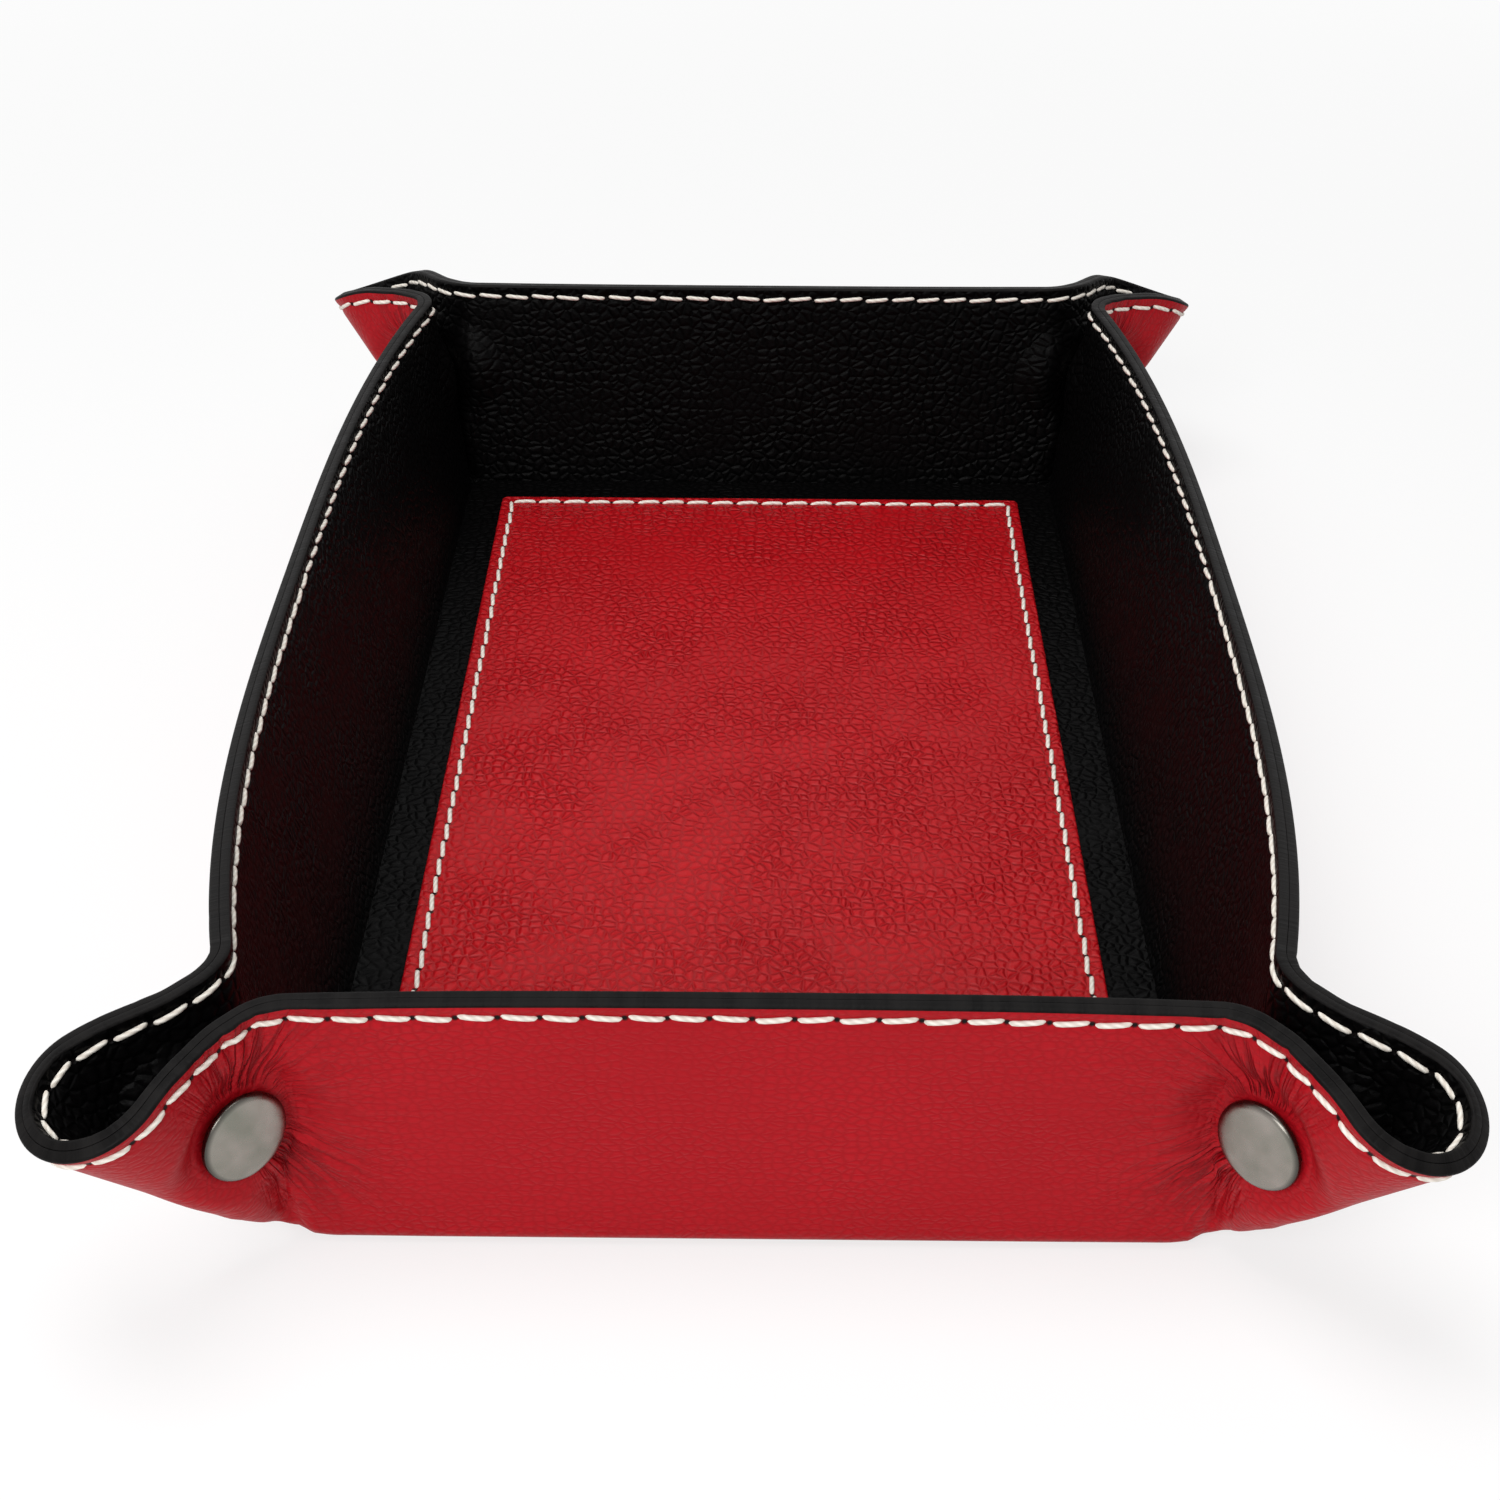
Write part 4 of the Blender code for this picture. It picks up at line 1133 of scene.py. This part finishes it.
def panel_stitches():
    meshes = []
    for side in range(4):
        half_run, half_off = PANEL_SEAM[side % 2], PANEL_SEAM[1 - side % 2]
        sign = 1 if side < 2 else -1
        count, pitch = PANEL_COUNTS[side % 2], PANEL_PITCHES[side % 2]

        def place(along, aside, lift):
            off = sign * (half_off + aside) + along * 0
            u, v = (along, off) if side % 2 == 0 else (off, along)
            return np.stack((u, v, panel_top(u, v) + lift), -1), np.zeros(along.shape + (3,)) + (0, 0, 1)
        middles = (np.arange(count) + 0.5) * pitch - half_run
        meshes.append(thread_piece("panel_seam", place, middles, pitch, PANEL_SEED + side))
    obj = merged("floor_panel_stitches", meshes)
    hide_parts("floor_panel_stitching")
    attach(obj, "floor")


# The snaps, turned about each corner's axis
TURNED_STEPS = 64
CAP_EDGE = 0.00045
ROLL_POWER = 16
ROLL_STEPS = 14
PROFILE_ROUND = 0.00015


def turned(node, profile, axis, body):
    """A piece of a snap. Its profile of (radius, height) pairs ends on the axis or closes on itself."""
    radius, height = np.array(profile).T[..., None]
    bearing = np.arange(TURNED_STEPS) * 2 * pi / TURNED_STEPS
    local = np.stack((radius * np.cos(bearing), radius * np.sin(bearing), height + bearing * 0), -1)
    matrix = np.array(axis)
    points = local @ matrix[:3, :3].T + matrix[:3, 3]
    index = np.arange(points[..., 0].size).reshape(points.shape[:2])
    beside = np.roll(index, -1, 1)
    last = len(index) - (radius[0, 0] == 0)
    above, above_beside = np.roll(index, -1, 0)[:last], np.roll(beside, -1, 0)[:last]
    mesh = new_mesh(f"{node}_metal", points, quads(index[:last], beside[:last], above, above_beside))
    give(mesh, "turned", radius / radius.max() + bearing * 0, 0, 0)
    close_up(mesh, METAL_SHARP)
    obj = new_piece(f"{node}_metal", mesh, "snap_metal", PEWTER)
    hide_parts(node)
    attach(obj, body)


def button_profile(radius, depth, rise, tip):
    """A domed disc whose edge rolls over, with a shank that goes in to its tip."""
    bottom = PINCHED_HALF_GAP + OUTER_FACE + CLEARANCE
    shares = np.sin(even(0, pi / 2, pi / 2 / ROLL_STEPS))
    roll = (depth - CAP_EDGE) * np.sqrt(1 - shares ** ROLL_POWER)
    heights = bottom + CAP_EDGE + roll + rise * (1 - shares ** 2)
    profile = list(zip(radius * shares, heights))
    return profile + [
        (radius, bottom + PROFILE_ROUND), (radius - PROFILE_ROUND, bottom),
        (SHANK_RADIUS, bottom), (SHANK_RADIUS, tip), (0, tip),
    ]


def socket_profile():
    """The half that holds the stud: a ring round its mouth and a web that the cap's shank goes through."""
    top = SNAP_GAP / 2 - CLEARANCE
    bottom = STUD_FLANGE + 2 * CLEARANCE - SNAP_GAP / 2
    bore = STUD_NOSE_RADIUS + CLEARANCE
    hole = SHANK_RADIUS + CLEARANCE
    corner = PROFILE_ROUND / 2
    return [
        (hole, top), (SOCKET_RADIUS - TURNED_EDGE, top), (SOCKET_RADIUS - corner, top - corner),
        (SOCKET_RADIUS, top - TURNED_EDGE), (SOCKET_RADIUS, bottom + TURNED_EDGE),
        (SOCKET_RADIUS - corner, bottom + corner), (SOCKET_RADIUS - TURNED_EDGE, bottom),
        (bore + PROFILE_ROUND, bottom), (bore, bottom + PROFILE_ROUND), (bore, WEB_LEVEL), (hole, WEB_LEVEL),
    ]


def stud_profile():
    """The half that snaps in: a flange on the lining and a hollow nose with a bulb."""
    top = SNAP_GAP / 2 - CLEARANCE
    shoulder = top - STUD_FLANGE
    hole = SHANK_RADIUS + CLEARANCE
    neck = STUD_NOSE_RADIUS - TURNED_EDGE
    bulb = NOSE_LEVEL + 1.5 * TURNED_EDGE
    profile = [
        (hole, top), (STUD_FLANGE_RADIUS, top), (STUD_FLANGE_RADIUS, shoulder + PROFILE_ROUND),
        (STUD_FLANGE_RADIUS - PROFILE_ROUND, shoulder), (neck, shoulder), (neck, (shoulder + NOSE_LEVEL) / 2),
    ]
    for turn in even(pi / 2, -pi / 2, pi / 6):
        profile.append((neck + TURNED_EDGE * cos(turn), bulb + 1.5 * TURNED_EDGE * sin(turn)))
    return profile + [(hole, NOSE_LEVEL)]


def snap_axis(wall, sign_x, sign_y):
    """The snap's axis in the pinch plane, with Z out through this wall's ear leaf."""
    centre = np.array((0, wall.half_length, SNAP_UP)) + SNAP_AHEAD * np.array((1, 1, 0)) / sqrt(2)
    place = mirrored(wall, sign_x, sign_y, centre) + wall_crease(wall, sign_x, sign_y)
    z_axis = mirrored(wall, sign_x, sign_y, np.array((1, -1, 0)) / sqrt(2))
    x_axis = Vector((0, 0, 1))
    return Matrix.Translation(place) @ Matrix((x_axis, z_axis.cross(x_axis), z_axis)).transposed().to_4x4()


def build_snap(corner, end_leaf, side_leaf, sign_x, sign_y):
    front, back = snap_axis(END_WALL, sign_x, sign_y), snap_axis(SIDE_WALL, sign_x, sign_y)
    turned(f"{corner}_snap_cap", button_profile(CAP_RADIUS, CAP_DEPTH, CAP_DOME, WEB_LEVEL), front, end_leaf)
    turned(f"{corner}_snap_socket", socket_profile(), front, end_leaf)
    turned(f"{corner}_snap_stud", stud_profile(), back, side_leaf)
    post = button_profile(POST_RADIUS, POST_DEPTH, POST_DOME, NOSE_LEVEL + CLEARANCE)
    turned(f"{corner}_snap_post", post, back, side_leaf)


# The camera stands where the photograph was taken from
CAMERA_PLACE = (0.00106, -0.4010, 0.2454)
CAMERA_PITCH = radians(30.76)
CAMERA_YAW = -0.0056
CAMERA_ROLL = -0.0054
FOCAL_PIXELS = 2614
FRAME_PIXELS = 1500
SENSOR_WIDTH = 36
NEAREST, FARTHEST = 0.01, 20


def build_camera():
    side = Vector((cos(CAMERA_YAW), -sin(CAMERA_YAW), 0))
    level = Vector((sin(CAMERA_YAW), cos(CAMERA_YAW), 0))
    view = cos(CAMERA_PITCH) * level - sin(CAMERA_PITCH) * Vector((0, 0, 1))
    up = sin(CAMERA_PITCH) * level + cos(CAMERA_PITCH) * Vector((0, 0, 1))
    right = cos(CAMERA_ROLL) * side - sin(CAMERA_ROLL) * up
    top = sin(CAMERA_ROLL) * side + cos(CAMERA_ROLL) * up
    data = bpy.data.cameras.new("camera")
    data.sensor_width = SENSOR_WIDTH
    data.lens = FOCAL_PIXELS / FRAME_PIXELS * SENSOR_WIDTH
    data.clip_start, data.clip_end = NEAREST, FARTHEST
    camera = in_scene("camera", data)
    camera.matrix_world = Matrix.Translation(CAMERA_PLACE) @ Matrix((right, top, -view)).transposed().to_4x4()
    bpy.context.scene.camera = camera


STAGE_CORNERS = ((-6, -6), (6, -6), (6, 6), (-6, 6))
STAGE_LEVEL = -0.0002
STAGE_NEAR_AND_FAR = (0.25, 0.75)
STAGE_NEAR_GLOW = 0.7
STAGE_COLOUR = (0.86, 0.86, 0.86, 1)
STAGE_ROUGHNESS = 0.9
WORLD_LIGHT = 0.4

# Each lamp: its name, its place, what it points at, its two sizes and its power
LAMPS = (
    ("overhead_softbox", (-0.15, -0.1, 1.0), (0, 0, 0), (0.7, 0.5), 6),
    ("front_softbox", (-0.3, -0.95, 0.65), (0, -0.05, 0.02), (0.5, 0.4), 7),
)


def seen(tree):
    """1 where the stage or the world is seen, itself or in a reflection, and 0 where it lights the tray."""
    paths = add(tree, "ShaderNodeLightPath", {}).outputs
    direct = calc("MAXIMUM", paths["Is Camera Ray"], paths["Is Glossy Ray"])
    return calc("MAXIMUM", direct, paths["Is Transmission Ray"])


def build_stage():
    """A pale floor that keeps the tray's shadow and goes quite white away from it."""
    mesh = new_mesh("stage_floor", [(x, y, STAGE_LEVEL) for x, y in STAGE_CORNERS], [(0, 1, 2, 3)])
    material, tree, shader = new_material("stage_white")
    put(shader, {"Base Color": STAGE_COLOUR, "Roughness": STAGE_ROUGHNESS, "Specular IOR Level": 0.0})
    glow = add(tree, "ShaderNodeEmission", {"Color": (1, 1, 1, 1), "Strength": 1.0})
    spot = add(tree, "ShaderNodeTexCoord", {}).outputs["Object"]
    away = add(tree, "ShaderNodeVectorMath", {0: spot}, operation="LENGTH").outputs["Value"]
    white = map_range(away, STAGE_NEAR_AND_FAR, STAGE_NEAR_GLOW, 1.0)
    share = calc("MULTIPLY", seen(tree), white)
    mixed = add(tree, "ShaderNodeMixShader", {0: share, 1: shader.outputs[0], 2: glow.outputs[0]})
    put(tree.nodes["Material Output"], {"Surface": mixed.outputs[0]})
    mesh.materials.append(material)
    in_scene("stage_floor", mesh)


def build_world():
    world = bpy.data.worlds.new("studio")
    bpy.context.scene.world = world
    world.use_nodes = True
    tree = world.node_tree
    strength = map_range(seen(tree), (0.0, 1.0), WORLD_LIGHT, 1.0)
    put(tree.nodes["Background"], {"Color": (1, 1, 1, 1), "Strength": strength})


def build_lights():
    for name, place, target, size, power in LAMPS:
        data = bpy.data.lights.new(name, "AREA")
        data.shape = "RECTANGLE"
        data.size, data.size_y = size
        data.energy = power
        lamp = in_scene(name, data)
        lamp.location = place
        lamp.rotation_mode = "QUATERNION"
        lamp.rotation_quaternion = (Vector(target) - Vector(place)).to_track_quat("-Z", "Y")


WALLS = (
    ("right_wall", SIDE_WALL, 1, 1),
    ("left_wall", SIDE_WALL, -1, 1),
    ("back_wall", END_WALL, 1, 1),
    ("front_wall", END_WALL, 1, -1),
)

build_camera()
build_stage()
build_world()
build_lights()
build_floor()
panel_stitches()
for name, wall, sign_x, sign_y in WALLS:
    build_wall(name, wall, sign_x, sign_y)
for end_name, sign_y in (("front", -1), ("back", 1)):
    for side_name, sign_x in (("left", -1), ("right", 1)):
        corner = f"{end_name}_{side_name}"
        build_leaf(f"{corner}_ear_{end_name}_leaf", END_WALL, end_name + "_wall", sign_x, sign_y)
        build_leaf(f"{corner}_ear_{side_name}_leaf", SIDE_WALL, side_name + "_wall", sign_x, sign_y)
        build_snap(corner, f"{corner}_ear_{end_name}_leaf", f"{corner}_ear_{side_name}_leaf", sign_x, sign_y)

bpy.context.scene.view_settings.view_transform = "Standard"
